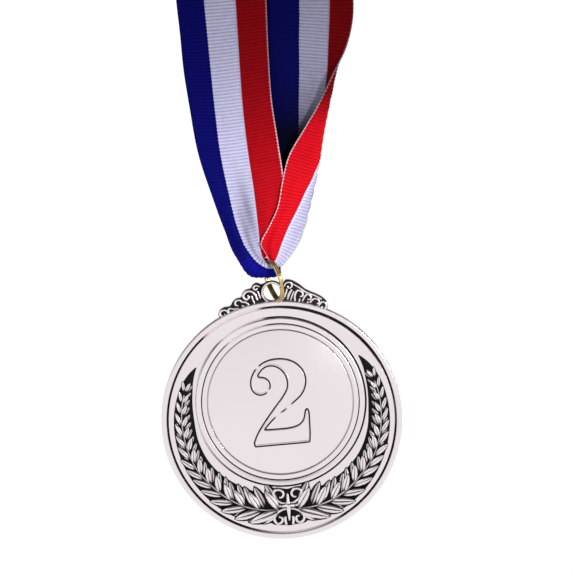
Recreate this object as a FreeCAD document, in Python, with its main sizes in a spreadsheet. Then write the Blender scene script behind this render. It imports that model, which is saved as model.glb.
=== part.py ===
import FreeCAD, Part
import math
import os
import Sketcher

# A hanging award medal: a cast medal with a crown-shaped bail and an eyelet, a numeral disc
# seated in it, a two-turn split ring, and a woven neck ribbon that is gathered through the ring.
# Millimetres, +Z up, the medal faces -Y. The origin is the inside top of the ribbon's upper fold,
# where a peg or a hand holds it.

Vector = FreeCAD.Vector
doc = FreeCAD.newDocument("medal")

# ---------------------------------------------------------------------------------------------
# Driving dimensions
# ---------------------------------------------------------------------------------------------
DIMENSIONS = [
    ("disc_radius", 32.5),
    ("disc_centre_z", -122.0),
    ("plate_mid_y", -2.6),
    ("plate_half", 1.5),
    ("field_sink", 0.3),
    ("rim_width", 1.4),
    ("centre_rise", 5.0),
    ("seat_radius", 19.7),
    ("bead_radius", 22.7),
    ("bead_height", 1.6),
    ("seat_floor", 0.4),
    ("insert_radius", 19.6),
    ("insert_face", 1.3),
    ("wreath_inner", 23.9),
    ("wreath_outer", 29.4),
    ("relief_height", 1.55),
    ("crown_half", 0.8),
    ("eyelet_above_disc", 34.8),
    ("ribbon_base", 36.0),
    ("eyelet_radius", 3.1),
    ("eyelet_hole", 2.3),
    ("back_groove_radius", 30.3),
    ("ring_radius", 5.8),
    ("wire_radius", 0.4),
    ("turn_pitch", 0.74),
    ("ribbon_thick", 0.7),
    ("ribbon_mid_y", -6.6),
    ("hank_width", 25.6),
    ("hank_depth", 10.2),
    ("hank_height", 42.0),
    ("hank_top_z", -14.0),
    ("band_width", 8.0),
    ("band_thick", 0.8),
    ("stitch_long", 1.6),
    ("stitch_thick", 0.3),
]

sheet = doc.addObject("Spreadsheet::Sheet", "sizes")
for row, (alias, number) in enumerate(DIMENSIONS, start=1):
    sheet.set("A%d" % row, alias)
    sheet.set("B%d" % row, str(number))
    sheet.setAlias("B%d" % row, alias)
doc.recompute()


def size(alias):
    """A driving dimension, read from the sheet."""
    return float(sheet.get(alias))


# ---------------------------------------------------------------------------------------------
# Helpers
# ---------------------------------------------------------------------------------------------
def new_body(label, placement=None):
    """A PartDesign body whose Label names its file."""
    body = doc.addObject("PartDesign::Body", label)
    body.Label = label
    if placement is not None:
        body.Placement = placement
    return body


def origin_plane(body, role):
    """One of a body's own origin planes, by its Role."""
    return [feature for feature in body.Origin.OriginFeatures if feature.Role == role][0]


def new_sketch(body, name, role="XZ_Plane", lift=0.0):
    """A sketch on a body's plane, lifted along the plane's normal (-Y for XZ_Plane)."""
    sketch = body.newObject("Sketcher::SketchObject", name)
    sketch.AttachmentSupport = [(origin_plane(body, role), "")]
    sketch.MapMode = "FlatFace"
    sketch.AttachmentOffset = FreeCAD.Placement(Vector(0, 0, lift), FreeCAD.Rotation())
    return sketch


def add_circle(sketch, centre, alias):
    """A circle whose radius follows a cell of the sheet."""
    circle = Part.Circle(Vector(centre[0], centre[1], 0), Vector(0, 0, 1), size(alias))
    number = sketch.addGeometry(circle, False)
    constraint = sketch.addConstraint(Sketcher.Constraint("Radius", number, size(alias)))
    sketch.setExpression("Constraints[%d]" % constraint, "sizes." + alias)


def add_outline(sketch, points):
    """A closed outline of straight runs through the points."""
    count = len(points)
    for k in range(count):
        a, b = points[k], points[(k + 1) % count]
        sketch.addGeometry(Part.LineSegment(Vector(a[0], a[1], 0), Vector(b[0], b[1], 0)), False)
    for k in range(count):
        sketch.addConstraint(Sketcher.Constraint("Coincident", k, 2, (k + 1) % count, 1))


def add_feature(body, kind, name, sketch, **settings):
    """A Pad or Pocket of a sketch. The settings are numbers, flags or expressions."""
    feature = body.newObject("PartDesign::" + kind, name)
    feature.Profile = sketch
    for key, value in settings.items():
        if isinstance(value, str) and key.startswith("Length"):
            feature.setExpression(key, value)
        else:
            setattr(feature, key, value)
    doc.recompute()
    return feature


def polar(radius, degrees):
    """A point at a radius and an angle counted from +X."""
    return (radius * math.cos(math.radians(degrees)), radius * math.sin(math.radians(degrees)))


def arc_points(radius, start, end, steps):
    """Points along an arc about the disc's centre."""
    return [polar(radius, start + (end - start) * k / steps) for k in range(steps + 1)]


# ---------------------------------------------------------------------------------------------
# Medal casting. Its own frame has the disc's centre at the origin and its mid plane at Y = 0.
# ---------------------------------------------------------------------------------------------
medal_place = FreeCAD.Placement(Vector(0, size("plate_mid_y"), size("disc_centre_z")), FreeCAD.Rotation())
casting = new_body("medal_casting", medal_place)

plate_sketch = new_sketch(casting, "plate_section", "XY_Plane")
rim = size("disc_radius")
half = size("plate_half")
edge_round = 0.35
groove_width = 0.4
groove_depth = 0.25
field_y = -(half - size("field_sink"))
rim_inner = rim - size("rim_width")
back_groove = size("back_groove_radius")
add_outline(
    plate_sketch,
    [
        (0, field_y),
        (rim_inner - groove_width, field_y),
        (rim_inner - groove_width, field_y + groove_depth),
        (rim_inner, field_y + groove_depth),
        (rim_inner, -half),
        (rim - edge_round, -half),
        (rim, -half + edge_round),
        (rim, half - edge_round),
        (rim - edge_round, half),
        (back_groove + groove_width, half),
        (back_groove + groove_width / 2, half - groove_depth),
        (back_groove, half),
        (0, half),
    ],
)
plate = casting.newObject("PartDesign::Revolution", "plate")
plate.Profile = plate_sketch
plate.ReferenceAxis = (plate_sketch, ["V_Axis"])
plate.Angle = 360.0
doc.recompute()

bead_sketch = new_sketch(casting, "bead_outline")
add_circle(bead_sketch, (0, size("centre_rise")), "bead_radius")
add_feature(casting, "Pad", "bead", bead_sketch, Length="sizes.bead_height")

for side, flip in (("left", -1), ("right", 1)):
    band = [(flip * x, z) for x, z in arc_points(size("wreath_outer"), -79, 30, 10)]
    band += [(flip * x, z) for x, z in reversed(arc_points(size("wreath_inner"), -76, 30, 10))]
    wreath_sketch = new_sketch(casting, "wreath_%s_outline" % side)
    add_outline(wreath_sketch, band)
    add_feature(casting, "Pad", "wreath_" + side, wreath_sketch, Length="sizes.relief_height")

knot_outline = [(-5.2, -19.6), (-2.0, -18.6), (0, -20.4), (2.0, -18.6), (5.2, -19.6), (4.6, -25.0),
                (3.0, -28.2), (0, -29.4), (-3.0, -28.2), (-4.6, -25.0)]
knot_sketch = new_sketch(casting, "knot_outline")
add_outline(knot_sketch, knot_outline)
add_feature(casting, "Pad", "knot", knot_sketch, Length="sizes.relief_height")

# The crown runs along the disc's upper edge and drops in scallops to a scroll at each end.
CROWN_RIGHT = [(2.4, 37.2), (3.4, 38.0), (4.8, 37.7), (6.0, 36.9), (7.4, 36.4), (8.4, 35.3), (9.4, 34.3),
               (10.6, 33.4), (12.0, 32.6), (13.6, 31.9), (14.6, 30.8), (14.6, 29.2)]
crown_outline = CROWN_RIGHT + arc_points(rim - 1.0, 65, 115, 8) + [(-x, z) for x, z in reversed(CROWN_RIGHT)]
crown_sketch = new_sketch(casting, "crown_outline", lift=-size("crown_half"))
add_outline(crown_sketch, crown_outline)
add_feature(casting, "Pad", "crown", crown_sketch, Length="2 * sizes.crown_half")

eyelet_sketch = new_sketch(casting, "eyelet_outline", lift=-size("crown_half"))
add_circle(eyelet_sketch, (0, size("eyelet_above_disc")), "eyelet_radius")
add_feature(casting, "Pad", "eyelet", eyelet_sketch, Length="2 * sizes.crown_half")

before_seat = casting.Tip.Shape.Volume
seat_sketch = new_sketch(casting, "seat_outline", lift=size("seat_floor"))
add_circle(seat_sketch, (0, size("centre_rise")), "seat_radius")
seat_cut = 2.0
add_feature(casting, "Pocket", "disc_seat", seat_sketch, Length=seat_cut, Reversed=True)
before_hole = casting.Tip.Shape.Volume
hole_sketch = new_sketch(casting, "hole_outline")
add_circle(hole_sketch, (0, size("eyelet_above_disc")), "eyelet_hole")
bore_cut = 6.0
add_feature(casting, "Pocket", "eyelet_bore", hole_sketch, Length=bore_cut, Midplane=True)
print("seat removes", round(before_seat - before_hole, 1), "bore removes",
      round(before_hole - casting.Tip.Shape.Volume, 1))

# ---------------------------------------------------------------------------------------------
# Numeral disc, seated in the casting, with a raised figure two of thick and thin strokes
# ---------------------------------------------------------------------------------------------
insert = new_body("numeral_disc", medal_place)
insert_sketch = new_sketch(insert, "insert_outline", lift=size("seat_floor"))
add_circle(insert_sketch, (0, size("centre_rise")), "insert_radius")
add_feature(insert, "Pad", "insert_plate", insert_sketch, Length="sizes.insert_face - sizes.seat_floor")

figure_rise = 0.15
FIGURE_TWO = [
    (-6.7, 8.4), (-7.9, 10.2), (-6.3, 13.6), (-3.2, 15.8), (0.6, 17.0), (4.2, 16.4), (6.9, 14.2), (7.3, 10.6),
    (5.3, 5.6), (-0.6, 0.2), (-3.6, -2.1), (2.8, -2.0), (6.0, -0.4), (7.0, 2.9), (8.1, 2.6), (8.2, -6.4),
    (-7.3, -6.6), (-7.0, -3.4), (-3.6, 1.6), (1.2, 5.6), (2.5, 9.6), (1.5, 13.6), (-0.8, 15.5), (-3.4, 14.9),
    (-5.0, 13.2), (-3.8, 9.8), (-5.0, 8.4),
]
figure_sketch = new_sketch(insert, "figure_outline", lift=size("insert_face") - figure_rise)
add_outline(figure_sketch, FIGURE_TWO)
add_feature(insert, "Pad", "figure_two", figure_sketch, Length=2 * figure_rise)

# ---------------------------------------------------------------------------------------------
# Split ring: two turns of wire side by side. It leans, and crosses the eyelet on a slant.
# ---------------------------------------------------------------------------------------------
lean = math.radians(12.4)
turned = math.radians(72.0)
ring_up = Vector(-math.sin(lean), 0, math.cos(lean))
ring_side = Vector(math.cos(lean), 0, math.sin(lean))
ring_axis = ring_side * math.sin(turned) + Vector(0, 1, 0) * math.cos(turned)
eyelet_z = size("disc_centre_z") + size("eyelet_above_disc")
ribbon_y = size("ribbon_mid_y")
ring_offset_x = 0.75
ring_above_eyelet = 3.82
ring_centre = Vector(ring_offset_x, ribbon_y, eyelet_z + ring_above_eyelet)
ribbon_z = size("disc_centre_z") + size("ribbon_base")
ring_turn = FreeCAD.Rotation(Vector(0, 0, 1), ring_axis)
turns = []
for number, side in ((1, -0.5), (2, 0.5)):
    turn = doc.addObject("Part::Torus", "ring_turn_%d" % number)
    turn.setExpression("Radius1", "sizes.ring_radius")
    turn.setExpression("Radius2", "sizes.wire_radius")
    turn.Placement = FreeCAD.Placement(Vector(0, 0, side * size("turn_pitch")), FreeCAD.Rotation())
    turns.append(turn)
split_ring = doc.addObject("Part::Fuse", "split_ring")
split_ring.Base = turns[0]
split_ring.Tool = turns[1]
split_ring.Label = "split_ring"
split_ring.Placement = FreeCAD.Placement(ring_centre, ring_turn)

# ---------------------------------------------------------------------------------------------
# Neck ribbon. Each strand rises from the gather, turns back over the top fold, and ends behind.
# Outlines are (x, z) with z counted from the ribbon's base line, just above the eyelet.
# ---------------------------------------------------------------------------------------------
thick = size("ribbon_thick")
gather_top = 13.0
LEFT_STRAND = [(-8.8, gather_top), (-1.2, gather_top), (4.7, 26.0), (5.4, 32.2), (4.1, 47.0), (4.5, 79.0)]
LEFT_EDGE = [(-19.6, 79.0), (-19.0, 63.0), (-17.4, 42.6), (-15.2, 32.5)]
RIGHT_STRAND = [(-3.0, gather_top), (8.7, gather_top), (13.1, 25.4), (15.6, 34.7), (18.7, 47.1), (22.0, 57.0),
                (25.2, 64.4), (28.2, 79.0)]
RIGHT_EDGE = [(4.9, 79.0), (0.6, 62.0), (-2.6, 40.0)]


def strip(points, y_centre):
    """A flat strip of ribbon: an outline in the XZ plane with the ribbon's thickness."""
    corners = [Vector(x, y_centre - thick / 2, ribbon_z + z) for x, z in points]
    return Part.Face(Part.makePolygon(corners + [corners[0]])).extrude(Vector(0, thick, 0))


def top_fold(x_low, x_high, y_front, leg_shift, leg_end):
    """The half turn over the top and the leg behind it, which drifts sideways as it goes down."""
    radius = -y_front
    centre_z = -(radius - thick / 2)
    width, start, along = x_high - x_low, Vector(x_low, 0, centre_z), Vector(1, 0, 0)
    outer = Part.makeCylinder(radius + thick / 2, width, start, along)
    inner = Part.makeCylinder(radius - thick / 2, width, start, along)
    above = Part.makeBox(width, 4 * radius, 2 * radius, Vector(x_low, -2 * radius, centre_z))
    half_turn = outer.cut(inner).common(above)
    back = radius - thick / 2
    corners = [Vector(x_low, back, centre_z), Vector(x_high, back, centre_z),
               Vector(x_high + leg_shift, back, leg_end), Vector(x_low + leg_shift, back, leg_end)]
    leg = Part.Face(Part.makePolygon(corners + [corners[0]])).extrude(Vector(0, thick, 0))
    return half_turn, leg, centre_z


def strand(label, outline, edge, y_front, leg_shift, leg_end):
    """One strand as a single solid: its visible strip, the fold over the top, and the leg behind."""
    x_low, x_high = edge[0][0], outline[-1][0]
    half_turn, leg, centre_z = top_fold(x_low, x_high, y_front, leg_shift, leg_end)
    rise = centre_z - ribbon_z
    front = strip(outline[:-1] + [(x_high, rise), (x_low, rise)] + edge[1:], y_front)
    solid = front.fuse([half_turn, leg]).removeSplitter()
    feature = doc.addObject("Part::Feature", label)
    feature.Label = label
    feature.Shape = solid
    return feature


left_y = ribbon_y - 0.65
right_y = ribbon_y + 0.35
leg_end_z = -30.0
left_leg_shift = 8.0
right_leg_shift = -12.0
left_strand = strand("ribbon_left_strand", LEFT_STRAND, LEFT_EDGE, left_y, left_leg_shift, leg_end_z)
right_strand = strand("ribbon_right_strand", RIGHT_STRAND, RIGHT_EDGE, right_y, right_leg_shift, leg_end_z)

# The gather that passes through the ring, slotted from above for the wire it hangs the ring by.
gather_rim = gather_top - 0.15
GATHER = [(-8.7, gather_rim), (-6.4, 7.8), (-4.6, 4.4), (-1.6, 3.2), (1.2, 3.3), (3.6, 5.0), (6.3, 8.6),
          (8.5, gather_rim), (1.6, gather_rim), (1.6, 7.3), (-2.8, 7.3), (-2.8, gather_rim)]
gather_half = 1.0
bight = new_body("ribbon_bight", FreeCAD.Placement(Vector(0, ribbon_y, ribbon_z), FreeCAD.Rotation()))
bight_sketch = new_sketch(bight, "gather_outline", lift=-gather_half)
add_outline(bight_sketch, GATHER)
add_feature(bight, "Pad", "gather", bight_sketch, Length=2 * gather_half)

# The rest of the neck loop, folded to and fro into a hank close behind the strands.
hank_centre_x = 0.8
hank_behind_strands = 1.7
hank_front_y = ribbon_y + hank_behind_strands
hank_low = size("hank_top_z") - size("hank_height")
hank = new_body("ribbon_hank")
hank_sketch = new_sketch(hank, "hank_outline", lift=-(hank_front_y + size("hank_depth")))
hank_x = (hank_centre_x - size("hank_width") / 2, hank_centre_x + size("hank_width") / 2)
add_outline(hank_sketch, [(hank_x[0], hank_low), (hank_x[1], hank_low),
                          (hank_x[1], size("hank_top_z")), (hank_x[0], size("hank_top_z"))])
add_feature(hank, "Pad", "folds", hank_sketch, Length="sizes.hank_depth")

# A woven band holds the hank together.
band_gap = 0.15
band_low = -40.0
band_clear_of_strands = 0.25
band = new_body("hank_band")
band_sketch = new_sketch(band, "band_section", "XY_Plane", lift=band_low)
inner_x = (hank_x[0] - band_gap, hank_x[1] + band_gap)
inner_y = (hank_front_y - band_gap, hank_front_y + size("hank_depth") + band_gap)
wall = size("band_thick")
front_wall_y = inner_y[0] - wall + band_clear_of_strands
add_outline(band_sketch, [(inner_x[0] - wall, front_wall_y), (inner_x[1] + wall, front_wall_y),
                          (inner_x[1] + wall, inner_y[1] + wall), (inner_x[0] - wall, inner_y[1] + wall)])
add_feature(band, "Pad", "band_block", band_sketch, Length="sizes.band_width")
core_sketch = new_sketch(band, "band_core", "XY_Plane", lift=band_low - 1)
add_outline(core_sketch, [(inner_x[0], inner_y[0]), (inner_x[1], inner_y[0]),
                          (inner_x[1], inner_y[1]), (inner_x[0], inner_y[1])])
add_feature(band, "Pocket", "band_opening", core_sketch, Length=size("band_width") + 2, Reversed=True)

# The stitches of the lap seam that closes the neck loop, in two rows on the rear layer.
hank_back = hank_front_y + size("hank_depth")
stitch_rows = (-44.0, -52.0)
stitches_per_row = 9
stitch_step = 2.5
stitch_proud = 0.25
stitch_list = []
for row_z in stitch_rows:
    for k in range(stitches_per_row):
        x = hank_centre_x + (k - (stitches_per_row - 1) / 2) * stitch_step
        corner = Vector(x - size("stitch_long") / 2, hank_back, row_z - size("stitch_thick") / 2)
        stitch_list.append(Part.makeBox(size("stitch_long"), stitch_proud, size("stitch_thick"), corner))
stitches = doc.addObject("Part::Feature", "seam_stitches")
stitches.Label = "seam_stitches"
stitches.Shape = Part.makeCompound(stitch_list)

# ---------------------------------------------------------------------------------------------
# Check and write
# ---------------------------------------------------------------------------------------------
doc.recompute()
NODES = [casting, insert, split_ring, left_strand, right_strand, bight, hank, band, stitches]
for item in doc.Objects:
    if "Invalid" in item.State or "Error" in item.State:
        raise RuntimeError("failed object: " + item.Name)
for node in NODES:
    if node.Shape.isNull() or not node.Shape.isValid():
        raise RuntimeError("bad shape: " + node.Label)

os.makedirs("parts", exist_ok=True)
for node in NODES:
    node.Shape.exportStep("parts/%s.step" % node.Label)
    box = node.Shape.BoundBox
    print("%-22s %d solids %9.1f mm3  x %.1f..%.1f y %.1f..%.1f z %.1f..%.1f" % (
        node.Label, len(node.Shape.Solids), node.Shape.Volume,
        box.XMin, box.XMax, box.YMin, box.YMax, box.ZMin, box.ZMax))
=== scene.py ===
import logging
import math
from dataclasses import dataclass, field
from enum import Enum
from typing import Callable, Sequence

import bmesh
import bpy
import numpy as np
from mathutils import Matrix, Vector


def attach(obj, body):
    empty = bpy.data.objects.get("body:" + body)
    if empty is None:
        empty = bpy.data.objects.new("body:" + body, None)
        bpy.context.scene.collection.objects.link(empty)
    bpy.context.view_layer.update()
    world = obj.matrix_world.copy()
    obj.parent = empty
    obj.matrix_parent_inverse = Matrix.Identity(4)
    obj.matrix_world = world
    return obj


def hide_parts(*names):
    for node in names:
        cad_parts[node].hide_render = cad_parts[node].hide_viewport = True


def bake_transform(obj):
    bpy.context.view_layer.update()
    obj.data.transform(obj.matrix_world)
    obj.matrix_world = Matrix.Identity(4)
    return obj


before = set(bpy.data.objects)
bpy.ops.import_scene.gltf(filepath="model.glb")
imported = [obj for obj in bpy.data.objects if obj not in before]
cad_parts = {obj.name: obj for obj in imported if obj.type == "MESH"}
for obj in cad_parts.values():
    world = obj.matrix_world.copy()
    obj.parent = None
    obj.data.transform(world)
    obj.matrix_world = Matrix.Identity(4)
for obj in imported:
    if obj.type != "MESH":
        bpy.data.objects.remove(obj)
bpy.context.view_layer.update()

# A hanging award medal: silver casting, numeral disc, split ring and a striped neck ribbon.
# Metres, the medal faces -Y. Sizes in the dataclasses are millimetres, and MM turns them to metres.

MM = 0.001
LOG = logging.getLogger("medal")

Point = tuple[float, float]
Point3 = tuple[float, float, float]
Station = tuple[float, float, float, float]
Colour = tuple[float, float, float]
Tone = float | Callable[[Vector], float]


# ---------------------------------------------------------------------------------------------
# Numbers
# ---------------------------------------------------------------------------------------------
def bell(value: np.ndarray, centre: float, width: float, power: int = 2) -> np.ndarray:
    """A smooth bump of height one about the centre; a higher power has a flatter top."""
    return np.exp(-((value - centre) / width) ** power)


def ramp(value: np.ndarray, start: float, stop: float) -> np.ndarray:
    """Goes evenly from 0 at start to 1 at stop, and stays there."""
    return np.clip((value - start) / (stop - start), 0, 1)


def circle(count: int) -> list[Point]:
    """The (cosine, sine) of evenly spaced directions all the way round."""
    return [(math.cos(turn), math.sin(turn)) for turn in (2 * math.pi * k / count for k in range(count))]


def smooth_path(points: np.ndarray, steps: int) -> np.ndarray:
    """A Catmull-Rom curve through points.

    Args:
        points: the points it passes through.
        steps: how many points each span is divided into.

    Returns:
        The curve's points, the last one included.
    """
    padded = np.vstack([2 * points[0] - points[1], points, 2 * points[-1] - points[-2]])
    out = []
    for k in range(1, len(padded) - 2):
        p0, p1, p2, p3 = padded[k - 1:k + 3]
        for s in range(steps):
            t = s / steps
            out.append(0.5 * (2 * p1 + (p2 - p0) * t + (2 * p0 - 5 * p1 + 4 * p2 - p3) * t ** 2
                              + (3 * p1 - p0 - 3 * p2 + p3) * t ** 3))
    out.append(points[-1])
    return np.array(out)


def hermite(knots: np.ndarray, values: np.ndarray, where: np.ndarray) -> np.ndarray:
    """Smooth interpolation through unevenly spaced values.

    Args:
        knots: the parameter of each value, rising.
        values: one row for each knot.
        where: the parameters to read.

    Returns:
        One row for each place read.
    """
    slopes = np.gradient(values, knots, axis=0)
    index = np.clip(np.searchsorted(knots, where) - 1, 0, len(knots) - 2)
    span = knots[index + 1] - knots[index]
    t = (where - knots[index]) / span
    shape = (-1,) + (1,) * (values.ndim - 1)
    t, span = t.reshape(shape), span.reshape(shape)
    a, b = values[index], values[index + 1]
    da, db = slopes[index] * span, slopes[index + 1] * span
    return ((2 * t ** 3 - 3 * t ** 2 + 1) * a + (t ** 3 - 2 * t ** 2 + t) * da
            + (3 * t ** 2 - 2 * t ** 3) * b + (t ** 3 - t ** 2) * db)


def row_distances(rows: np.ndarray) -> np.ndarray:
    """How far each row of points lies along the way from the first, by the mean gap between rows."""
    gaps = np.linalg.norm(np.diff(rows, axis=0), axis=2).mean(axis=1)
    return np.concatenate([[0.0], np.cumsum(gaps)])


def loop_normals(line: np.ndarray) -> np.ndarray:
    """Unit normals of a closed flat line.

    Args:
        line: its points, in order.

    Returns:
        One normal for each point, to the right of the line's direction.
    """
    tangent = np.roll(line, -1, axis=0) - np.roll(line, 1, axis=0)
    normal = np.stack([tangent[:, 1], -tangent[:, 0]], axis=1)
    return normal / np.linalg.norm(normal, axis=1, keepdims=True)


# ---------------------------------------------------------------------------------------------
# Mesh helpers
# ---------------------------------------------------------------------------------------------
def link_object(name: str, data: bpy.types.ID) -> bpy.types.Object:
    """Makes an object and links it to the scene.

    Args:
        name: the object's name.
        data: its mesh, curve, lamp or camera.

    Returns:
        The new object.
    """
    obj = bpy.data.objects.new(name, data)
    bpy.context.scene.collection.objects.link(obj)
    return obj


def add_object(name: str, mesh: bpy.types.Mesh, smooth: bool = True) -> bpy.types.Object:
    """Links a mesh to the scene as a new object at the origin.

    Args:
        name: the piece's name.
        mesh: its mesh, already in place.
        smooth: whether its faces are shaded smooth.

    Returns:
        The new object.
    """
    mesh.name = name
    if smooth:
        mesh.polygons.foreach_set("use_smooth", [True] * len(mesh.polygons))
    return link_object(name, mesh)


def finish_mesh(name: str, bm: bmesh.types.BMesh, outward: bool = True) -> bpy.types.Object:
    """Turns finished geometry into an object.

    Args:
        name: the piece's name.
        bm: its geometry in metres, which is freed.
        outward: whether its faces are first turned outwards.

    Returns:
        The new object.
    """
    if outward:
        bmesh.ops.recalc_face_normals(bm, faces=bm.faces)
    mesh = bpy.data.meshes.new(name)
    bm.to_mesh(mesh)
    bm.free()
    return add_object(name, mesh)


def tidy_normals(mesh: bpy.types.Mesh, merge: float = 0.0) -> None:
    """Turns every face of a closed mesh outwards.

    Args:
        mesh: the mesh.
        merge: how close two points are, in metres, to be merged first; 0 merges none.
    """
    bm = bmesh.new()
    bm.from_mesh(mesh)
    if merge:
        bmesh.ops.remove_doubles(bm, verts=bm.verts, dist=merge)
    bmesh.ops.recalc_face_normals(bm, faces=bm.faces)
    bm.to_mesh(mesh)
    bm.free()


def bake_object(obj: bpy.types.Object) -> bpy.types.Mesh:
    """Turns an object with modifiers into a plain mesh.

    Args:
        obj: the object, which is removed.

    Returns:
        Its mesh with the modifiers applied.
    """
    depsgraph = bpy.context.evaluated_depsgraph_get()
    mesh = bpy.data.meshes.new_from_object(obj.evaluated_get(depsgraph), depsgraph=depsgraph)
    bpy.data.objects.remove(obj)
    return mesh


def join_meshes(name: str, parts: Sequence[bpy.types.Object]) -> bpy.types.Object:
    """Joins several objects at the origin into one piece and removes the originals.

    Args:
        name: the joined piece's name.
        parts: the objects.

    Returns:
        The joined piece.
    """
    bm = bmesh.new()
    for part in parts:
        bm.from_mesh(part.data)
        bpy.data.objects.remove(part)
    return finish_mesh(name, bm, outward=False)


def sharpen(obj: bpy.types.Object, degrees: float) -> None:
    """Keeps creases crisp under smooth shading, by angle."""
    obj.data.set_sharp_from_angle(angle=math.radians(degrees))


def set_tone(obj: bpy.types.Object, tone: Tone) -> None:
    """Stores how polished each point is, 0 in a recess to 1 on a rubbed top, as the attribute polish; on some pieces
    it also carries painted highlight and shade.

    Args:
        obj: the piece.
        tone: one level for all of it, or a function that gives the level at a point in millimetres.
    """
    layer = obj.data.attributes.new("polish_and_painted_light", "FLOAT", "POINT")
    values = [tone(v.co / MM) if callable(tone) else tone for v in obj.data.vertices]
    layer.data.foreach_set("value", values)


def lathe(name: str, profile: Sequence[Point], centre: Point3, steps: int) -> bpy.types.Object:
    """Turns a profile about an axis along Y.

    Args:
        name: the piece's name.
        profile: (radius, y) points in millimetres; radius 0 closes the shape on the axis.
        centre: the axis's place, in millimetres.
        steps: how many stations go round.

    Returns:
        A closed ring if the profile is a loop off the axis, or a closed solid if it meets it.
    """
    bm = bmesh.new()
    closed_loop = all(radius > 0 for radius, _ in profile)
    rings = []
    for radius, depth in profile:
        spots = circle(steps) if radius else [(0.0, 0.0)]
        rings.append([bm.verts.new(Vector((centre[0] + radius * c, centre[1] + depth, centre[2] + radius * s)) * MM)
                      for c, s in spots])
    count = len(rings)
    for i in range(count if closed_loop else count - 1):
        a, b = rings[i], rings[(i + 1) % count]
        for k in range(steps):
            corners = (a[k % len(a)], a[(k + 1) % len(a)], b[(k + 1) % len(b)], b[k % len(b)])
            bm.faces.new(list(dict.fromkeys(corners)))
    return finish_mesh(name, bm)


def loft(name: str, rings: Sequence[Sequence[Point3]], closed: bool = False,
         uv: Callable[[int, int], Point] | None = None) -> bpy.types.Object:
    """Skins a row of rings that all have the same number of points.

    Args:
        name: the piece's name.
        rings: the points of each ring, in millimetres.
        closed: whether the last ring joins the first; otherwise both ends are capped.
        uv: the place on the strip map for a ring's and a point's number, if the piece has a map.

    Returns:
        A closed mesh with its faces turned outwards.
    """
    bm = bmesh.new()
    layer = bm.loops.layers.uv.new("strip") if uv else None
    verts = [[bm.verts.new(Vector(spot) * MM) for spot in ring] for ring in rings]
    count, size = len(verts), len(verts[0])
    for i in range(count if closed else count - 1):
        for k in range(size):
            n = (k + 1) % size
            corners = ((i, k), (i, n), (i + 1, n), (i + 1, k))
            face = bm.faces.new([verts[ring % count][spot] for ring, spot in corners])
            if uv:
                for corner, place in zip(face.loops, corners):
                    corner[layer].uv = uv(*place)
    if not closed:
        bm.faces.new(verts[0])
        bm.faces.new(verts[-1])
    return finish_mesh(name, bm)


def tube(name: str, path: Sequence[Point3], radii: Sequence[float], sides: int, flat: float = 1.0
         ) -> bpy.types.Object:
    """A closed tube along a smooth path.

    Args:
        name: the piece's name.
        path: points in millimetres that the tube passes through.
        radii: the tube's radius at each point.
        sides: facets round the tube.
        flat: how deep the section is along Y, as a share of its width.

    Returns:
        The tube's object.
    """
    points = smooth_path(np.array(path, float), 5)
    size = np.interp(np.linspace(0, len(path) - 1, len(points)), range(len(path)), radii)
    rings = []
    for k, point in enumerate(points):
        along = Vector(points[min(k + 1, len(points) - 1)] - points[max(k - 1, 0)]).normalized()
        side = along.cross(Vector((0, 1, 0)))
        side = side.normalized() if side.length > 1e-6 else Vector((1, 0, 0))
        up = side.cross(along).normalized() * flat
        rings.append([Vector(point) + (side * c + up * s) * size[k] for c, s in circle(sides)])
    return loft(name, rings)


def flat_shape(name: str, outlines: Sequence[Sequence[Point]], half: float, bevel: float, place: Point3
               ) -> bpy.types.Object:
    """A plate cut to smooth outlines in the XZ plane, with rounded edges.

    Args:
        name: the piece's name.
        outlines: closed outlines in millimetres, bent through their points; one inside another cuts a hole.
        half: half the plate's thickness.
        bevel: the rounding of its edges.
        place: what the outline's origin is moved to, in millimetres.

    Returns:
        The plate's object.
    """
    curve = bpy.data.curves.new(name, "CURVE")
    curve.dimensions, curve.fill_mode, curve.bevel_resolution = "2D", "BOTH", 2
    curve.extrude, curve.bevel_depth, curve.offset = (half - bevel) * MM, bevel * MM, -bevel * MM
    steps = 4
    for outline in outlines:
        ring = np.array(outline, float)
        wrapped = np.vstack([ring[-1:], ring, ring[:2]])
        ring = smooth_path(wrapped, steps)[steps:steps * (len(ring) + 1)]
        spline = curve.splines.new("POLY")
        spline.points.add(len(ring) - 1)
        for point, (x, z) in zip(spline.points, ring):
            point.co = (x * MM, z * MM, 0, 1)
        spline.use_cyclic_u = True
    mesh = bake_object(link_object(name + "_curve", curve))
    mesh.transform(Matrix.Translation(Vector(place) * MM) @ Matrix.Rotation(math.radians(90), 4, "X"))
    mesh.materials.clear()
    tidy_normals(mesh, 1e-7)
    return add_object(name, mesh)


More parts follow.
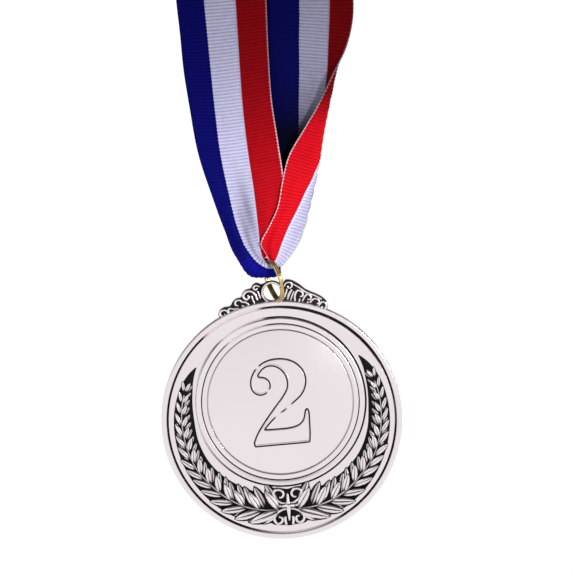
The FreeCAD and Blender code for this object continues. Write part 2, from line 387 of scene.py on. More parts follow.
# ---------------------------------------------------------------------------------------------
# Materials
# ---------------------------------------------------------------------------------------------
class Nodes:
    """A small helper that adds and links nodes in one tree."""

    def __init__(self, tree: bpy.types.NodeTree) -> None:
        """Keeps the tree."""
        self.tree = tree

    def put(self, socket: bpy.types.NodeSocket, value: object) -> None:
        """Fills an input.

        Args:
            socket: the input.
            value: the output to link it to, or its plain number, vector or colour.
        """
        if isinstance(value, bpy.types.NodeSocket):
            self.tree.links.new(value, socket)
        else:
            socket.default_value = (*value, 1.0) if socket.type == "RGBA" else value

    def add(self, kind: str, inputs: dict[str | int, object] | None = None, **settings: object) -> bpy.types.Node:
        """Adds a node.

        Args:
            kind: the node's type.
            inputs: what goes into its inputs, by their names or numbers.
            settings: its plain properties.

        Returns:
            The node.
        """
        node = self.tree.nodes.new(kind)
        for key, value in settings.items():
            setattr(node, key, value)
        for key, value in (inputs or {}).items():
            self.put(node.inputs[key], value)
        return node

    def math(self, operation: str, a: object, b: object = None, c: object = None, clamp: bool = False
             ) -> bpy.types.NodeSocket:
        """A Math node whose inputs are sockets or numbers.

        Args:
            operation: the node's operation.
            a: first input.
            b: second input.
            c: third input.
            clamp: whether the result is kept in 0 to 1.

        Returns:
            The node's output socket.
        """
        inputs = {number: value for number, value in enumerate((a, b, c)) if value is not None}
        return self.add("ShaderNodeMath", inputs, operation=operation, use_clamp=clamp).outputs[0]

    def mix(self, factor: object, a: object, b: object) -> bpy.types.NodeSocket:
        """Mixes two colours, each a socket or a plain colour."""
        return self.add("ShaderNodeMix", {0: factor, 6: a, 7: b}, data_type="RGBA").outputs[2]

    def around_zero(self, noise: bpy.types.NodeSocket, size: object) -> bpy.types.NodeSocket:
        """A noise of 0 to 1 moved to swing about zero, times a size."""
        return self.math("MULTIPLY", self.math("SUBTRACT", noise, 0.5), size)

    def wave(self, place: object, pitch: object) -> bpy.types.NodeSocket:
        """A cosine from 0 to 1 that repeats with a pitch."""
        phase = self.math("MULTIPLY", self.math("DIVIDE", place, pitch), 2 * math.pi)
        return self.math("MULTIPLY_ADD", self.math("COSINE", phase), 0.5, 0.5)

    def noise(self, place: object, scale: object, detail: float) -> bpy.types.NodeSocket:
        """A noise of 0 to 1."""
        return self.add("ShaderNodeTexNoise", {"Detail": detail, "Vector": place, "Scale": scale}).outputs["Fac"]

    def relief(self, height: object, strength: float, distance: float) -> bpy.types.NodeSocket:
        """A fine surface relief, for a shader's normal."""
        return self.add("ShaderNodeBump", {"Strength": strength, "Distance": distance, "Height": height}).outputs[0]


def new_material(name: str) -> tuple[bpy.types.Material, Nodes, bpy.types.Node]:
    """Starts a material.

    Args:
        name: its name.

    Returns:
        The material, its node helper and its surface shader.
    """
    material = bpy.data.materials.new(name)
    material.use_nodes = True
    return material, Nodes(material.node_tree), material.node_tree.nodes["Principled BSDF"]


def new_group(name: str, inputs: Sequence[tuple[str, float]], outputs: Sequence[tuple[str, str]]
              ) -> tuple[bpy.types.NodeTree, Nodes, bpy.types.Node, bpy.types.Node]:
    """A shader node group with float inputs.

    Args:
        name: the group's name.
        inputs: (name, default) of each float input.
        outputs: (name, socket type) of each output.

    Returns:
        The group, its helper, and its input and output nodes.
    """
    group = bpy.data.node_groups.new(name, "ShaderNodeTree")
    for label, default in inputs:
        socket = group.interface.new_socket(name=label, in_out="INPUT", socket_type="NodeSocketFloat")
        socket.default_value = default
    for label, kind in outputs:
        group.interface.new_socket(name=label, in_out="OUTPUT", socket_type=kind)
    nodes = Nodes(group)
    return group, nodes, nodes.add("NodeGroupInput"), nodes.add("NodeGroupOutput")


def build_metal_wear() -> bpy.types.NodeTree:
    """Fine hairlines, handling smudges and a roughness mask for plated metal."""
    group, nodes, inp, out = new_group(
        "metal_wear", [("Hairline Scale", 900.0), ("Smudge Scale", 45.0), ("Roughness", 0.2), ("Variation", 0.1)],
        [("Roughness", "NodeSocketFloat"), ("Smudge", "NodeSocketFloat"), ("Height", "NodeSocketFloat")])
    place = nodes.add("ShaderNodeTexCoord").outputs["Object"]
    stretch = nodes.add("ShaderNodeMapping", {"Vector": place, "Rotation": (0.0, math.radians(35), 0.0),
                                              "Scale": (1.0, 1.0, 0.06)})
    hairs = nodes.noise(stretch.outputs[0], inp.outputs["Hairline Scale"], 3.0)
    smudge = nodes.noise(place, inp.outputs["Smudge Scale"], 4.0)
    spread = nodes.around_zero(smudge, inp.outputs["Variation"])
    total = nodes.math("ADD", nodes.math("ADD", inp.outputs["Roughness"], spread), nodes.around_zero(hairs, 0.12),
                       clamp=True)
    for label, value in (("Roughness", total), ("Smudge", smudge), ("Height", hairs)):
        nodes.put(out.inputs[label], value)
    return group


def build_thread_weave() -> bpy.types.NodeTree:
    """Ribs and single threads of a woven strip, from its own UV map in millimetres."""
    group, nodes, inp, out = new_group(
        "thread_weave", [("Rib Pitch", 1.0), ("Thread Pitch", 0.25), ("Fuzz Scale", 900.0)],
        [("Rib", "NodeSocketFloat"), ("Height", "NodeSocketFloat"), ("Across", "NodeSocketFloat"),
         ("Shade", "NodeSocketFloat")])
    uv = nodes.add("ShaderNodeUVMap", uv_map="strip")
    across, along, _ = nodes.add("ShaderNodeSeparateXYZ", {0: uv.outputs[0]}).outputs
    rib = nodes.wave(along, inp.outputs["Rib Pitch"])
    thread = nodes.wave(across, inp.outputs["Thread Pitch"])
    fuzz = nodes.noise(nodes.add("ShaderNodeTexCoord").outputs["Object"], inp.outputs["Fuzz Scale"], 3.0)
    height = nodes.math("ADD", nodes.math("MULTIPLY", thread, 0.5), nodes.math("MULTIPLY", fuzz, 0.4))
    shade = nodes.math("MULTIPLY_ADD", fuzz, 0.3, 0.85)
    for label, value in (("Rib", rib), ("Height", height), ("Across", across), ("Shade", shade)):
        nodes.put(out.inputs[label], value)
    return group


@dataclass(frozen=True)
class MetalFinish:
    """A plated or solid metal: its colour, the colour of its recesses and how smooth it is."""

    name: str
    base: Colour
    shade: Colour
    roughness: float
    variation: float = 0.08
    recess_from: float = 0.0
    recess_to: float = 0.0
    patina: Colour = (0.008, 0.008, 0.009)

    def build(self, wear: bpy.types.NodeTree) -> bpy.types.Material:
        """Makes the material, with dark recesses where the attribute polish is low.

        Args:
            wear: the shared group of hairlines and smudges.

        Returns:
            The material.
        """
        material, nodes, shader = new_material(self.name)
        group = nodes.add("ShaderNodeGroup", {"Roughness": self.roughness, "Variation": self.variation},
                          node_tree=wear)
        colour = nodes.mix(group.outputs["Smudge"], self.base, self.shade)
        rough: object = group.outputs["Roughness"]
        metallic: object = 1.0
        if self.recess_to > self.recess_from:
            # Patina where the level is low; on the rim, seat ring and figure line the level also carries painted
            # highlight and shade.
            polish_and_painted_light = nodes.add("ShaderNodeAttribute", attribute_name="polish_and_painted_light").outputs["Fac"]
            level = nodes.math("ADD", polish_and_painted_light, nodes.around_zero(group.outputs["Smudge"], 0.3))
            bright = nodes.add("ShaderNodeMapRange", {"From Min": self.recess_from, "From Max": self.recess_to,
                                                      "Value": level}).outputs["Result"]
            colour = nodes.mix(bright, self.patina, colour)
            dull = nodes.math("MULTIPLY", nodes.math("SUBTRACT", 1.0, bright), 0.35)
            rough = nodes.math("ADD", rough, dull, clamp=True)
            metallic = nodes.math("MULTIPLY_ADD", bright, 0.7, 0.3, clamp=True)
            nodes.put(shader.inputs["Specular IOR Level"], nodes.math("MULTIPLY_ADD", bright, 0.4, 0.1))
        relief = nodes.relief(group.outputs["Height"], 0.04, 0.00004)
        for label, value in (("Base Color", colour), ("Roughness", rough), ("Metallic", metallic),
                             ("Normal", relief)):
            nodes.put(shader.inputs[label], value)
        return material


@dataclass(frozen=True)
class WovenFinish:
    """A woven strip: its stripes from one edge to the other, each (where it starts in mm, colour).

    The stripes' edges step by jag with the ribs, and painted shade darkens the colour between them. A strip with
    painted shade also multiplies its colour by the painted light and shade stored in the attribute shade.
    """

    name: str
    stripes: tuple[tuple[float, Colour], ...]
    rib_pitch: float
    thread_pitch: float
    painted_groove_shade: float = 0.55
    roughness: float = 0.72
    specular: float = 0.03
    jag: float = 0.12
    painted_shade: bool = False

    def build(self, weave: bpy.types.NodeTree) -> bpy.types.Material:
        """Makes the material: dyed stripes with painted shade between the ribs, and thread relief.

        Args:
            weave: the shared group of ribs and threads.

        Returns:
            The material.
        """
        material, nodes, shader = new_material(self.name)
        group = nodes.add("ShaderNodeGroup", {"Rib Pitch": self.rib_pitch, "Thread Pitch": self.thread_pitch},
                          node_tree=weave)
        rib = group.outputs["Rib"]
        edge = nodes.math("ADD", group.outputs["Across"], nodes.around_zero(rib, self.jag))
        colour: object = self.stripes[0][1]
        for start, dye in self.stripes[1:]:
            past = nodes.math("SUBTRACT", edge, start - self.jag / 2)
            colour = nodes.mix(nodes.math("DIVIDE", past, self.jag, clamp=True), colour, dye)
        # Painted shade between the ribs, deepest in each groove.
        scale = nodes.math("MULTIPLY_ADD", rib, 1.0 - self.painted_groove_shade, self.painted_groove_shade)
        shade = nodes.math("MULTIPLY", scale, group.outputs["Shade"])
        # The V's painted light and shade, read from the attribute shade.
        if self.painted_shade:
            light = nodes.add("ShaderNodeAttribute", attribute_name="shade").outputs["Fac"]
            shade = nodes.math("MULTIPLY", shade, light)
        dark = nodes.add("ShaderNodeVectorMath", {0: colour, "Scale": shade}, operation="SCALE")
        relief = nodes.relief(group.outputs["Height"], 0.35, 0.00008)
        for label, value in (("Base Color", dark.outputs[0]), ("Roughness", self.roughness),
                             ("Specular IOR Level", self.specular), ("Normal", relief)):
            nodes.put(shader.inputs[label], value)
        return material


BLUE: Colour = (0.0020, 0.0020, 0.105)
WHITE: Colour = (0.42, 0.41, 0.58)
RED: Colour = (0.31, 0.002, 0.006)
PALE: Colour = (0.48, 0.30, 0.35)


class Finish(Enum):
    """Every finish on the object."""

    FIELD = MetalFinish("bright_silver_plate", (0.815, 0.745, 0.77), (0.775, 0.71, 0.735), 0.18)
    ANTIQUE = MetalFinish("antique_silver_relief", (0.815, 0.745, 0.77), (0.775, 0.71, 0.735), 0.19,
                          recess_from=0.26, recess_to=0.58)
    BRASS = MetalFinish("brass_ring_wire", (0.60, 0.45, 0.17), (0.44, 0.31, 0.10), 0.22)
    RIBBON = WovenFinish("striped_grosgrain", ((0.0, BLUE), (8.2, WHITE), (16.6, RED), (24.68, PALE)), 0.9, 0.3,
                         painted_groove_shade=0.68, painted_shade=True)
    BAND = WovenFinish("white_elastic_band", ((0.0, (0.80, 0.80, 0.81)),), 0.9, 0.35, painted_groove_shade=0.7)
    THREAD = WovenFinish("seam_thread", ((0.0, (0.82, 0.82, 0.84)),), 0.35, 0.2, painted_groove_shade=0.6)


def build_materials() -> dict[Finish, bpy.types.Material]:
    """Makes the shared node groups and every material."""
    wear, weave = build_metal_wear(), build_thread_weave()
    return {finish: finish.value.build(wear if isinstance(finish.value, MetalFinish) else weave)
            for finish in Finish}


def dress(obj: bpy.types.Object, material: bpy.types.Material, body: str) -> None:
    """Gives a piece its material and its body, and reports it.

    Args:
        obj: the piece.
        material: its material.
        body: the body that it rides on.
    """
    obj.data.materials.clear()
    obj.data.materials.append(material)
    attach(obj, body)
    LOG.info("%s: %d faces on %s", obj.name, len(obj.data.polygons), body)


# ---------------------------------------------------------------------------------------------
# Neck ribbon
# ---------------------------------------------------------------------------------------------
@dataclass(frozen=True)
class GuideRow:
    """One weft line of the ribbon: stations of (mm across, x, y from the ribbon plane, z from its low end).

    Where the strip folds over itself, fold is the fold's place across it and depth its rounding along Z.
    """

    stations: tuple[Station, ...]
    fold: float = 0.0
    depth: float = 0.0
    reach: float = 1.2

    def points(self, columns: np.ndarray, plane: float, base: float) -> np.ndarray:
        """The row's points in millimetres at each column, rounded where the strip folds over itself.

        Args:
            columns: places across the strip, in millimetres.
            plane: the ribbon plane's y.
            base: the z of the ribbon's low end.

        Returns:
            One (x, y, z) for each column.
        """
        rows = np.array(self.stations, float)
        if self.fold:
            at = int(np.argmin(abs(rows[:, 0] - self.fold)))
            edge = rows[at]
            extra = []
            for other, side in ((rows[at - 1], 1.0), (rows[at + 1], -1.0)):
                gap = abs(other[0] - edge[0])
                share = min(self.reach, 0.45 * gap) / gap
                spot = edge + (other - edge) * share * 0.8
                spot[0] = edge[0] + (other[0] - edge[0]) * share
                spot[2] = edge[2] + side * self.depth
                extra.append(spot)
            rows = np.vstack([rows[:at], extra[0], edge, extra[1], rows[at + 1:]])
        found = hermite(rows[:, 0], rows[:, 1:], columns)
        return found + np.array([0.0, plane, base])


def plain_row(xs: Sequence[float], ys: Sequence[float], zs: Sequence[float]) -> GuideRow:
    """A row with no fold, given at the strip's edges and stripe lines.

    Args:
        xs: the x of the four places.
        ys: their y from the ribbon plane.
        zs: their z from the ribbon's low end.

    Returns:
        The row.
    """
    return GuideRow(tuple(zip((0.0, 8.33, 16.67, 25.0), xs, ys, zs)))


@dataclass
class NeckRibbon:
    """The striped ribbon: the V that carries the ring, the arch over the holder and the folded rest of it."""

    width: float = 25.0
    thickness: float = 0.5
    rib_pitch: float = 0.9
    rib_height: float = 0.09
    plane: float = -6.6
    base: float = -86.0
    arch_z: float = -6.5
    arch_radius: float = 6.9
    columns: int = 34
    samples_per_rib: int = 4
    pleat_depth: float = 0.32
    hank_centre: float = 0.8
    hank_layers: int = 13
    hank_pitch: float = 0.70
    hank_front: float = -4.5
    hank_top: float = -14.4
    hank_low: float = -55.2

    LEFT: tuple[GuideRow, ...] = (
        plain_row((-19.5, -11.95, -3.6, 4.6), (-0.30, -0.30, -0.35, -0.5), (79.5, 79.5, 79.5, 79.5)),
        plain_row((-19.2, -11.8, -3.7, 4.3), (-0.6, -0.55, -0.65, -0.9), (71.0, 71.0, 71.2, 71.5)),
        plain_row((-19.0, -11.6, -3.85, 4.0), (-0.9, -0.8, -0.95, -1.1), (61.0, 60.6, 61.0, 61.6)),
        plain_row((-18.2, -11.35, -3.9, 3.95), (-1.2, -1.1, -1.3, -1.9), (51.0, 50.3, 50.6, 51.4)),
        plain_row((-16.8, -10.75, -3.45, 4.85), (-1.3, -1.3, -1.5, -2.0), (38.0, 37.6, 38.0, 39.0)),
        plain_row((-14.0, -9.35, -2.65, 5.3), (-1.2, -1.4, -1.5, -1.5), (26.4, 26.6, 27.0, 28.2)),
        plain_row((-11.3, -7.65, -2.3, 3.2), (-1.1, -1.6, -1.3, -1.3), (16.8, 17.0, 17.8, 19.4)),
        GuideRow(((0.0, -8.9, -1.0, 9.6), (8.33, -5.4, -1.7, 10.9), (16.67, -2.15, -1.3, 11.6),
                  (21.0, -0.3, -0.9, 12.4), (25.0, 0.2, 0.0, 13.4))),
        GuideRow(((0.0, -5.2, 0.3, 3.9), (3.5, -4.9, -1.0, 4.7), (8.33, -2.8, -1.8, 7.5), (16.67, -1.9, -1.4, 9.0),
                  (21.0, -0.9, -0.3, 9.6), (25.0, -0.1, 0.5, 9.75))),
        GuideRow(((0.0, -2.2, 1.5, 3.3), (3.5, -1.6, -1.2, 3.8), (8.33, -0.9, -2.2, 6.2), (16.67, -1.3, -1.4, 7.9),
                  (21.0, -1.35, 0.2, 8.2), (25.0, -1.3, 0.9, 8.35))),
    )
    GATHER: GuideRow = GuideRow(((0.0, 2.1, 1.6, 3.4), (3.5, 1.7, -2.0, 3.9), (8.33, 0.9, -2.3, 5.8),
                                 (12.5, 0.6, -0.2, 6.3), (16.67, -0.1, -1.5, 6.9), (21.0, -0.2, 0.9, 7.1),
                                 (25.0, 0.0, -0.9, 7.2)))
    RIGHT: tuple[GuideRow, ...] = (
        GuideRow(((0.0, 1.9, 1.5, 7.4), (8.33, 2.6, 0.9, 6.8), (10.2, 3.1, 0.5, 6.5), (12.0, 3.5, 0.0, 6.3),
                  (16.67, 1.9, -1.4, 8.6), (25.0, -0.9, -2.0, 9.9)), 12.0, 0.2),
        GuideRow(((0.0, -0.8, 0.9, 12.6), (8.33, 4.3, 0.7, 10.9), (10.2, 5.7, 0.5, 10.3), (12.0, 6.7, -0.1, 9.9),
                  (16.67, 3.3, -1.2, 11.7), (25.0, -2.0, -2.1, 12.8)), 12.0, 0.45),
        GuideRow(((0.0, -1.7, 0.6, 17.6), (8.33, 5.6, 0.6, 15.3), (10.3, 7.5, 0.5, 14.6), (12.3, 9.3, 0.0, 14.1),
                  (16.67, 5.3, -1.0, 15.8), (25.0, 0.4, -2.2, 17.0)), 12.3, 0.5),
        GuideRow(((0.0, -1.5, 0.7, 24.0), (8.33, 6.8, 0.7, 21.4), (10.9, 9.2, 0.6, 20.8), (13.4, 11.5, 0.0, 20.1),
                  (16.67, 8.5, -1.0, 21.3), (25.0, 3.3, -2.2, 22.4)), 13.4, 0.55),
        GuideRow(((0.0, -0.2, 0.9, 29.2), (8.33, 7.8, 0.9, 26.8), (11.4, 10.5, 0.7, 26.1), (14.6, 13.15, -0.2, 25.4),
                  (16.67, 11.2, -1.2, 26.2), (25.0, 4.9, -2.1, 28.6)), 14.6, 0.65),
        GuideRow(((0.0, 1.4, 1.0, 36.4), (8.33, 9.2, 1.0, 34.0), (12.2, 12.4, 0.8, 33.2), (16.0, 15.2, -0.4, 32.5),
                  (20.5, 11.2, -1.6, 34.0), (25.0, 7.2, -1.8, 35.6)), 16.0, 0.8),
        GuideRow(((0.0, 2.4, 0.9, 44.5), (8.33, 10.6, 1.0, 42.4), (13.6, 14.6, 0.8, 41.4), (18.8, 17.0, -0.7, 40.5),
                  (21.9, 14.3, -1.9, 41.5), (25.0, 11.7, -2.1, 42.4)), 18.8, 0.9),
        GuideRow(((0.0, 2.9, 0.7, 51.4), (8.33, 11.2, 0.7, 49.4), (16.67, 17.3, 0.6, 47.9), (21.2, 18.8, -0.8, 47.2),
                  (23.1, 17.3, -1.8, 47.9), (25.0, 15.9, -2.2, 48.5)), 21.2, 0.7),
        GuideRow(((0.0, 3.5, 0.4, 60.0), (8.33, 12.0, 0.35, 58.0), (16.67, 19.3, 0.4, 56.8), (22.5, 21.4, -1.4, 56.2),
                  (23.8, 21.2, -2.2, 56.5), (25.0, 20.8, -2.8, 57.0)), 22.5, 0.1),
        GuideRow(((0.0, 4.1, 0.1, 68.0), (8.33, 12.6, 0.1, 66.6), (16.67, 20.3, 0.0, 65.3), (22.5, 23.8, -1.1, 64.6),
                  (23.8, 24.5, -1.5, 64.4), (25.0, 25.1, -1.9, 64.2)), 22.5, 0.0),
        GuideRow(((0.0, 4.7, -0.1, 74.3), (8.33, 13.2, -0.1, 73.2), (16.67, 21.1, -0.2, 72.2),
                  (22.5, 25.8, -0.5, 71.6), (23.8, 26.6, -0.6, 71.5), (25.0, 27.3, -0.7, 71.4)), 22.5, 0.0),
        GuideRow(((0.0, 5.0, -0.3, 79.5), (8.33, 13.55, -0.3, 79.5), (16.67, 21.7, -0.3, 79.5),
                  (22.5, 26.3, -0.35, 79.5), (23.8, 27.2, -0.35, 79.5), (25.0, 27.95, -0.35, 79.5)), 22.5, 0.0),
    )

    def right_rows(self, columns: np.ndarray, steps: int = 4) -> list[np.ndarray]:
        """The right strand's rows with more between them, so that the fold's edge stays smooth.

        Args:
            columns: places across the strip.
            steps: how many rows each gap is divided into.

        Returns:
            The rows from the ring upwards.
        """
        values = np.array([row.stations for row in self.RIGHT])
        depth = np.array([row.depth for row in self.RIGHT])
        knots = row_distances(values[:, :, 1:])
        where = np.concatenate([np.linspace(a, b, steps, endpoint=False) for a, b in zip(knots, knots[1:])]
                               + [knots[-1:]])
        dense = hermite(knots, values, where)
        depths = np.maximum(np.interp(where, knots, depth), 0.0)
        return [GuideRow(tuple(map(tuple, stations)), stations[3][0], reach).points(columns, self.plane, self.base)
                for stations, reach in zip(dense, depths)]

    def pleats(self, surface: np.ndarray, across: np.ndarray) -> np.ndarray:
        """Adds the soft lengthwise creases that run into the ring.

        Args:
            surface: the strip's middle surface.
            across: the place of each column across the strip.

        Returns:
            The creased surface.
        """
        height = surface[:, :, 2] - self.base
        near = bell(height, 9.0, 13.0) * ramp(height, 5.0, 10.0) * (surface[:, :, 1] < -4.0)
        wave = np.sin(2 * math.pi * (across / 7.5 + 0.1)) + 0.4 * np.sin(2 * math.pi * (across / 3.7 + 0.3))
        out = surface.copy()
        out[:, :, 1] += self.pleat_depth * near * wave[None, :]
        return out

    def arch(self, start: np.ndarray, rear_shift: float) -> list[np.ndarray]:
        """Rows over the holder and down behind, from a front row's top.

        Args:
            start: the row at the arch's front end.
            rear_shift: how much further out the rear end lies than the arch's radius.

        Returns:
            The rows from just past the front row to the back of the hank.
        """
        target = self.hank_centre + np.linspace(-self.width / 2, self.width / 2, len(start))
        rows = []
        for degrees in (30, 60, 90, 120, 150, 180):
            angle = math.radians(degrees)
            radius = self.arch_radius + rear_shift * degrees / 180
            row = start.copy()
            row[:, 1] = -radius * math.cos(angle)
            row[:, 2] = self.arch_z + radius * math.sin(angle)
            rows.append(row)
        for share, z, depth in ((0.42, -19.0, 6.35), (1.0, -33.0, 5.0), (1.0, -43.0, 4.95), (1.0, -53.6, 4.95)):
            row = start.copy()
            row[:, 0] = start[:, 0] * (1 - share) + target * share
            row[:, 1] = depth + rear_shift
            row[:, 2] = z
            rows.append(row)
        return rows

    def strip(self, name: str, rows: Sequence[np.ndarray], creased: bool = False) -> bpy.types.Object:
        """A ribbed strip with thickness through guide rows, with its own UV map in millimetres.

        Args:
            name: the piece's name.
            rows: guide rows, all with the same number of columns.
            creased: whether it gets the lengthwise creases near the ring, and the V's painted light and shade.

        Returns:
            The strip's object.
        """
        guides = np.array(rows)
        knots = row_distances(guides)
        length, columns = float(knots[-1]), guides.shape[1]
        along = np.linspace(0.0, length, int(length / self.rib_pitch * self.samples_per_rib) + 1)
        across = np.linspace(0.0, self.width, columns)
        surface = hermite(knots, guides, along)
        light = np.ones(surface.shape[:2])
        if creased:
            surface = self.pleats(surface, across)
            # The V's painted light and shade, kept with the mesh as the point attribute shade.
            light = self.light_share(surface, across, along > length / 2)
        normal = np.cross(np.gradient(surface, axis=0), np.gradient(surface, axis=1))
        normal /= np.linalg.norm(normal, axis=2, keepdims=True) + 1e-9
        rib = self.rib_height * np.cos(2 * math.pi * along / self.rib_pitch)[:, None, None]
        half = self.thickness / 2 + rib - self.rib_height
        verts = np.concatenate([(surface + side * half * normal).reshape(-1, 3) for side in (1, -1)]) * MM
        mesh = bpy.data.meshes.new(name)
        mesh.from_pydata(verts.tolist(), [], self.skin_faces(len(along), columns))
        uv = np.tile(np.stack([np.tile(across, len(along)), np.repeat(along, columns)], axis=1), (2, 1))
        corner = np.zeros(len(mesh.loops), int)
        mesh.loops.foreach_get("vertex_index", corner)
        mesh.uv_layers.new(name="strip").data.foreach_set("uv", uv[corner].ravel())
        tidy_normals(mesh)
        LOG.info("%s: strip %.1f mm long", name, length)
        obj = add_object(name, mesh)
        obj["strip_length"] = length
        shade = mesh.attributes.new("shade", "FLOAT", "POINT")
        shade.data.foreach_set("value", np.tile(light.ravel(), 2).astype(np.float32))
        return obj

    def light_share(self, surface: np.ndarray, across: np.ndarray, second_half: np.ndarray) -> np.ndarray:
        """Painted light and shade on the V's colour: darkest inside the V, brightest on the turned-back end.

        Args:
            surface: the strip's middle surface.
            across: the place of each column across the strip.
            second_half: whether each row belongs to the strip's second half.

        Returns:
            A factor on the cloth's colour for each point.
        """
        height = surface[:, :, 2] - self.base
        strand = np.ones_like(height) * across[None, :]
        front = surface[:, :, 1] < 0
        right, left = second_half[:, None] * front, ~second_half[:, None] * front
        red, upper = ramp(strand, 16.3, 16.8), ramp(height, 43.0, 52.0)
        # Painted shadow inside the V and under the gather by the ring; painted light on the turned-back end and on
        # the blue edge by the ring; painted shade in the left strand's creases near the ring; the red painted darker
        # towards the top, where less light falls.
        painted_shade = bell(height, 34.0, 17.0) * ramp(strand, 17.0, 12.0)
        underside_shadow = ramp(height, 5.2, 3.6) * ramp(strand, 3.6, 2.0) * ramp(surface[:, :, 0], -4.0, -2.0)
        flap_light = red * (0.42 - upper) - 0.30 * (1 - red) * upper
        pinch_shade = bell(height, 19.0, 11.0) * bell(strand - 0.06 * height, 12.0, 3.2)
        crease_shade = 0.82 + 0.18 * np.sin(1.5 * strand + 0.25 * height)
        red_light_falloff = red * (0.24 - 0.58 * ramp(height, 10.0, 60.0))
        blue_edge_light = bell(height, 6.5, 3.2) * ramp(strand, 8.4, 6.9)
        light = 1.0 - 0.92 * np.clip(1.25 * right * painted_shade + underside_shadow, 0, 1)
        for share in (right * flap_light, -0.68 * left * pinch_shade * crease_shade, left * red_light_falloff, 0.8 * left * blue_edge_light):
            light *= 1.0 + share
        return light

    @staticmethod
    def skin_faces(rows: int, columns: int) -> list[tuple[int, int, int, int]]:
        """Faces of a strip's two sides, its long edges and its ends.

        Args:
            rows: how many rows of points each side has.
            columns: how many points each row has.

        Returns:
            The faces, by point numbers: the front's come first, then the back's.
        """
        size = rows * columns
        faces = []
        for r in range(rows - 1):
            for c in range(columns - 1):
                a = r * columns + c
                faces.append((a, a + 1, a + columns + 1, a + columns))
                faces.append((size + a, size + a + columns, size + a + columns + 1, size + a + 1))
            for c in (0, columns - 1):
                a, b = r * columns + c, (r + 1) * columns + c
                faces.append((a, b, size + b, size + a))
        for r in (0, rows - 1):
            for c in range(columns - 1):
                a = r * columns + c
                faces.append((a, a + 1, size + a + 1, size + a))
        return faces

    def build_v(self) -> bpy.types.Object:
        """The V with its arch and both legs behind."""
        columns = np.linspace(0.0, self.width, self.columns)
        left = [row.points(columns, self.plane, self.base) for row in (*self.LEFT, self.GATHER)]
        right = self.right_rows(columns)
        before = self.arch(left[0], 0.75)[::-1]
        after = self.arch(right[-1], 0.0)
        return self.strip("ribbon_v", [*before, *left, *right, *after], creased=True)

    def build_hank(self) -> bpy.types.Object:
        """The rest of the ribbon, folded to and fro in flat layers, its last turn wrapped up the back."""
        path: list[Point] = []
        bend = self.hank_pitch / 2
        for layer in range(self.hank_layers):
            depth = self.hank_front + layer * self.hank_pitch
            ends = (self.hank_top - bend, self.hank_low + bend)
            start, stop = ends if layer % 2 else ends[::-1]
            inner = [start + (stop - start) * k / 5 for k in range(6)]
            path += [(depth, z) for z in inner]
            if layer < self.hank_layers - 1:
                turn = self.hank_top if stop > start else self.hank_low
                path.append((depth + bend, turn))
        depth = path[-1][0] + self.hank_pitch
        path += [(depth - bend, self.hank_top), (depth, self.hank_top - 1.5)]
        path += [(depth, z) for z in (-24.0, -34.0, -44.0, -53.0)]
        path += [(depth + 0.3, -54.8), (depth + 1.2, -55.7), (6.1, -55.2), (6.5, -53.9), (6.5, -51.0), (6.5, -47.0),
                 (6.5, -42.2)]
        columns = np.linspace(-self.width / 2, self.width / 2, 12) + self.hank_centre
        rows = [np.stack([columns, np.full(12, y), np.full(12, z)], axis=1) for y, z in path]
        return self.strip("ribbon_hank_folds", rows)


@dataclass
class HankBand:
    """The elastic band round the folded ribbon, and the seam that joins the ribbon's ends."""

    low: float = -40.0
    high: float = -32.0
    front: float = -5.45
    back: float = 6.15
    half_width: float = 13.5
    centre: float = 0.8
    corner: float = 1.4
    thickness: float = 0.8
    spacing: float = 0.9
    seam_rows: tuple[float, ...] = (-44.0, -52.0)
    stitch_count: int = 9
    stitch_span: float = 20.0
    seam_y: float = 6.78

    def build_band(self) -> bpy.types.Object:
        """A closed woven loop, a little fuller in the middle of its width."""
        outline: list[Point] = []
        for sx, sy, turn in ((1, 1, 0), (-1, 1, 90), (-1, -1, 180), (1, -1, 270)):
            cx = self.centre + sx * (self.half_width - self.corner)
            cy = (self.back - self.corner) if sy > 0 else (self.front + self.corner)
            for k in range(7):
                angle = math.radians(turn + 15 * k)
                outline.append((cx + self.corner * math.cos(angle), cy + self.corner * math.sin(angle)))
        ring = np.array(outline)
        dense = []
        for a, b in zip(ring, np.roll(ring, -1, axis=0)):
            steps = max(1, int(np.linalg.norm(b - a) / self.spacing))
            dense += [a + (b - a) * k / steps for k in range(steps)]
        ring = np.array(dense)
        along = np.concatenate([[0], np.cumsum(np.linalg.norm(np.diff(ring, axis=0), axis=1))])
        along = np.append(along, along[-1] + self.spacing)
        half, middle = (self.high - self.low) / 2, (self.high + self.low) / 2
        section = [(half * math.cos(t), self.thickness / 2 * math.copysign(abs(math.sin(t)) ** 0.4, math.sin(t)))
                   for t in np.linspace(0, 2 * math.pi, 24, endpoint=False)]
        rings = [[(*(spot + out * depth), middle + z) for z, depth in section]
                 for spot, out in zip(ring, loop_normals(ring))]
        return loft("hank_band_woven", rings, closed=True, uv=lambda i, k: (along[i], section[k][0] + half))

    def build_seam(self, thread: bpy.types.Material) -> bpy.types.Object:
        """Two rows of short straight stitches through the lapped ends, laid out by a node tree.

        Args:
            thread: the thread's material.

        Returns:
            All the stitches as one piece.
        """
        stitch = tube("one_stitch", ((-0.72, 0.14, 0), (-0.4, -0.02, 0), (0.4, -0.02, 0), (0.72, 0.14, 0)),
                      (0.12, 0.17, 0.17, 0.12), 8)
        tree = build_row_tree()
        pieces = []
        for number, z in enumerate(self.seam_rows):
            start = (self.centre - self.stitch_span / 2, self.seam_y, z)
            end = (self.centre + self.stitch_span / 2, self.seam_y, z)
            spec = RowSpec(count=self.stitch_count, start_scale=1.0, end_scale=1.0, seed=number + 3, jitter=2.0,
                           angle=180.0, end_angle=180.0)
            pieces.append(lay_row(f"stitch_row_{number}", tree, stitch, (start, end), spec, thread))
        bpy.data.objects.remove(stitch)
        return join_meshes("seam_stitch_threads", pieces)


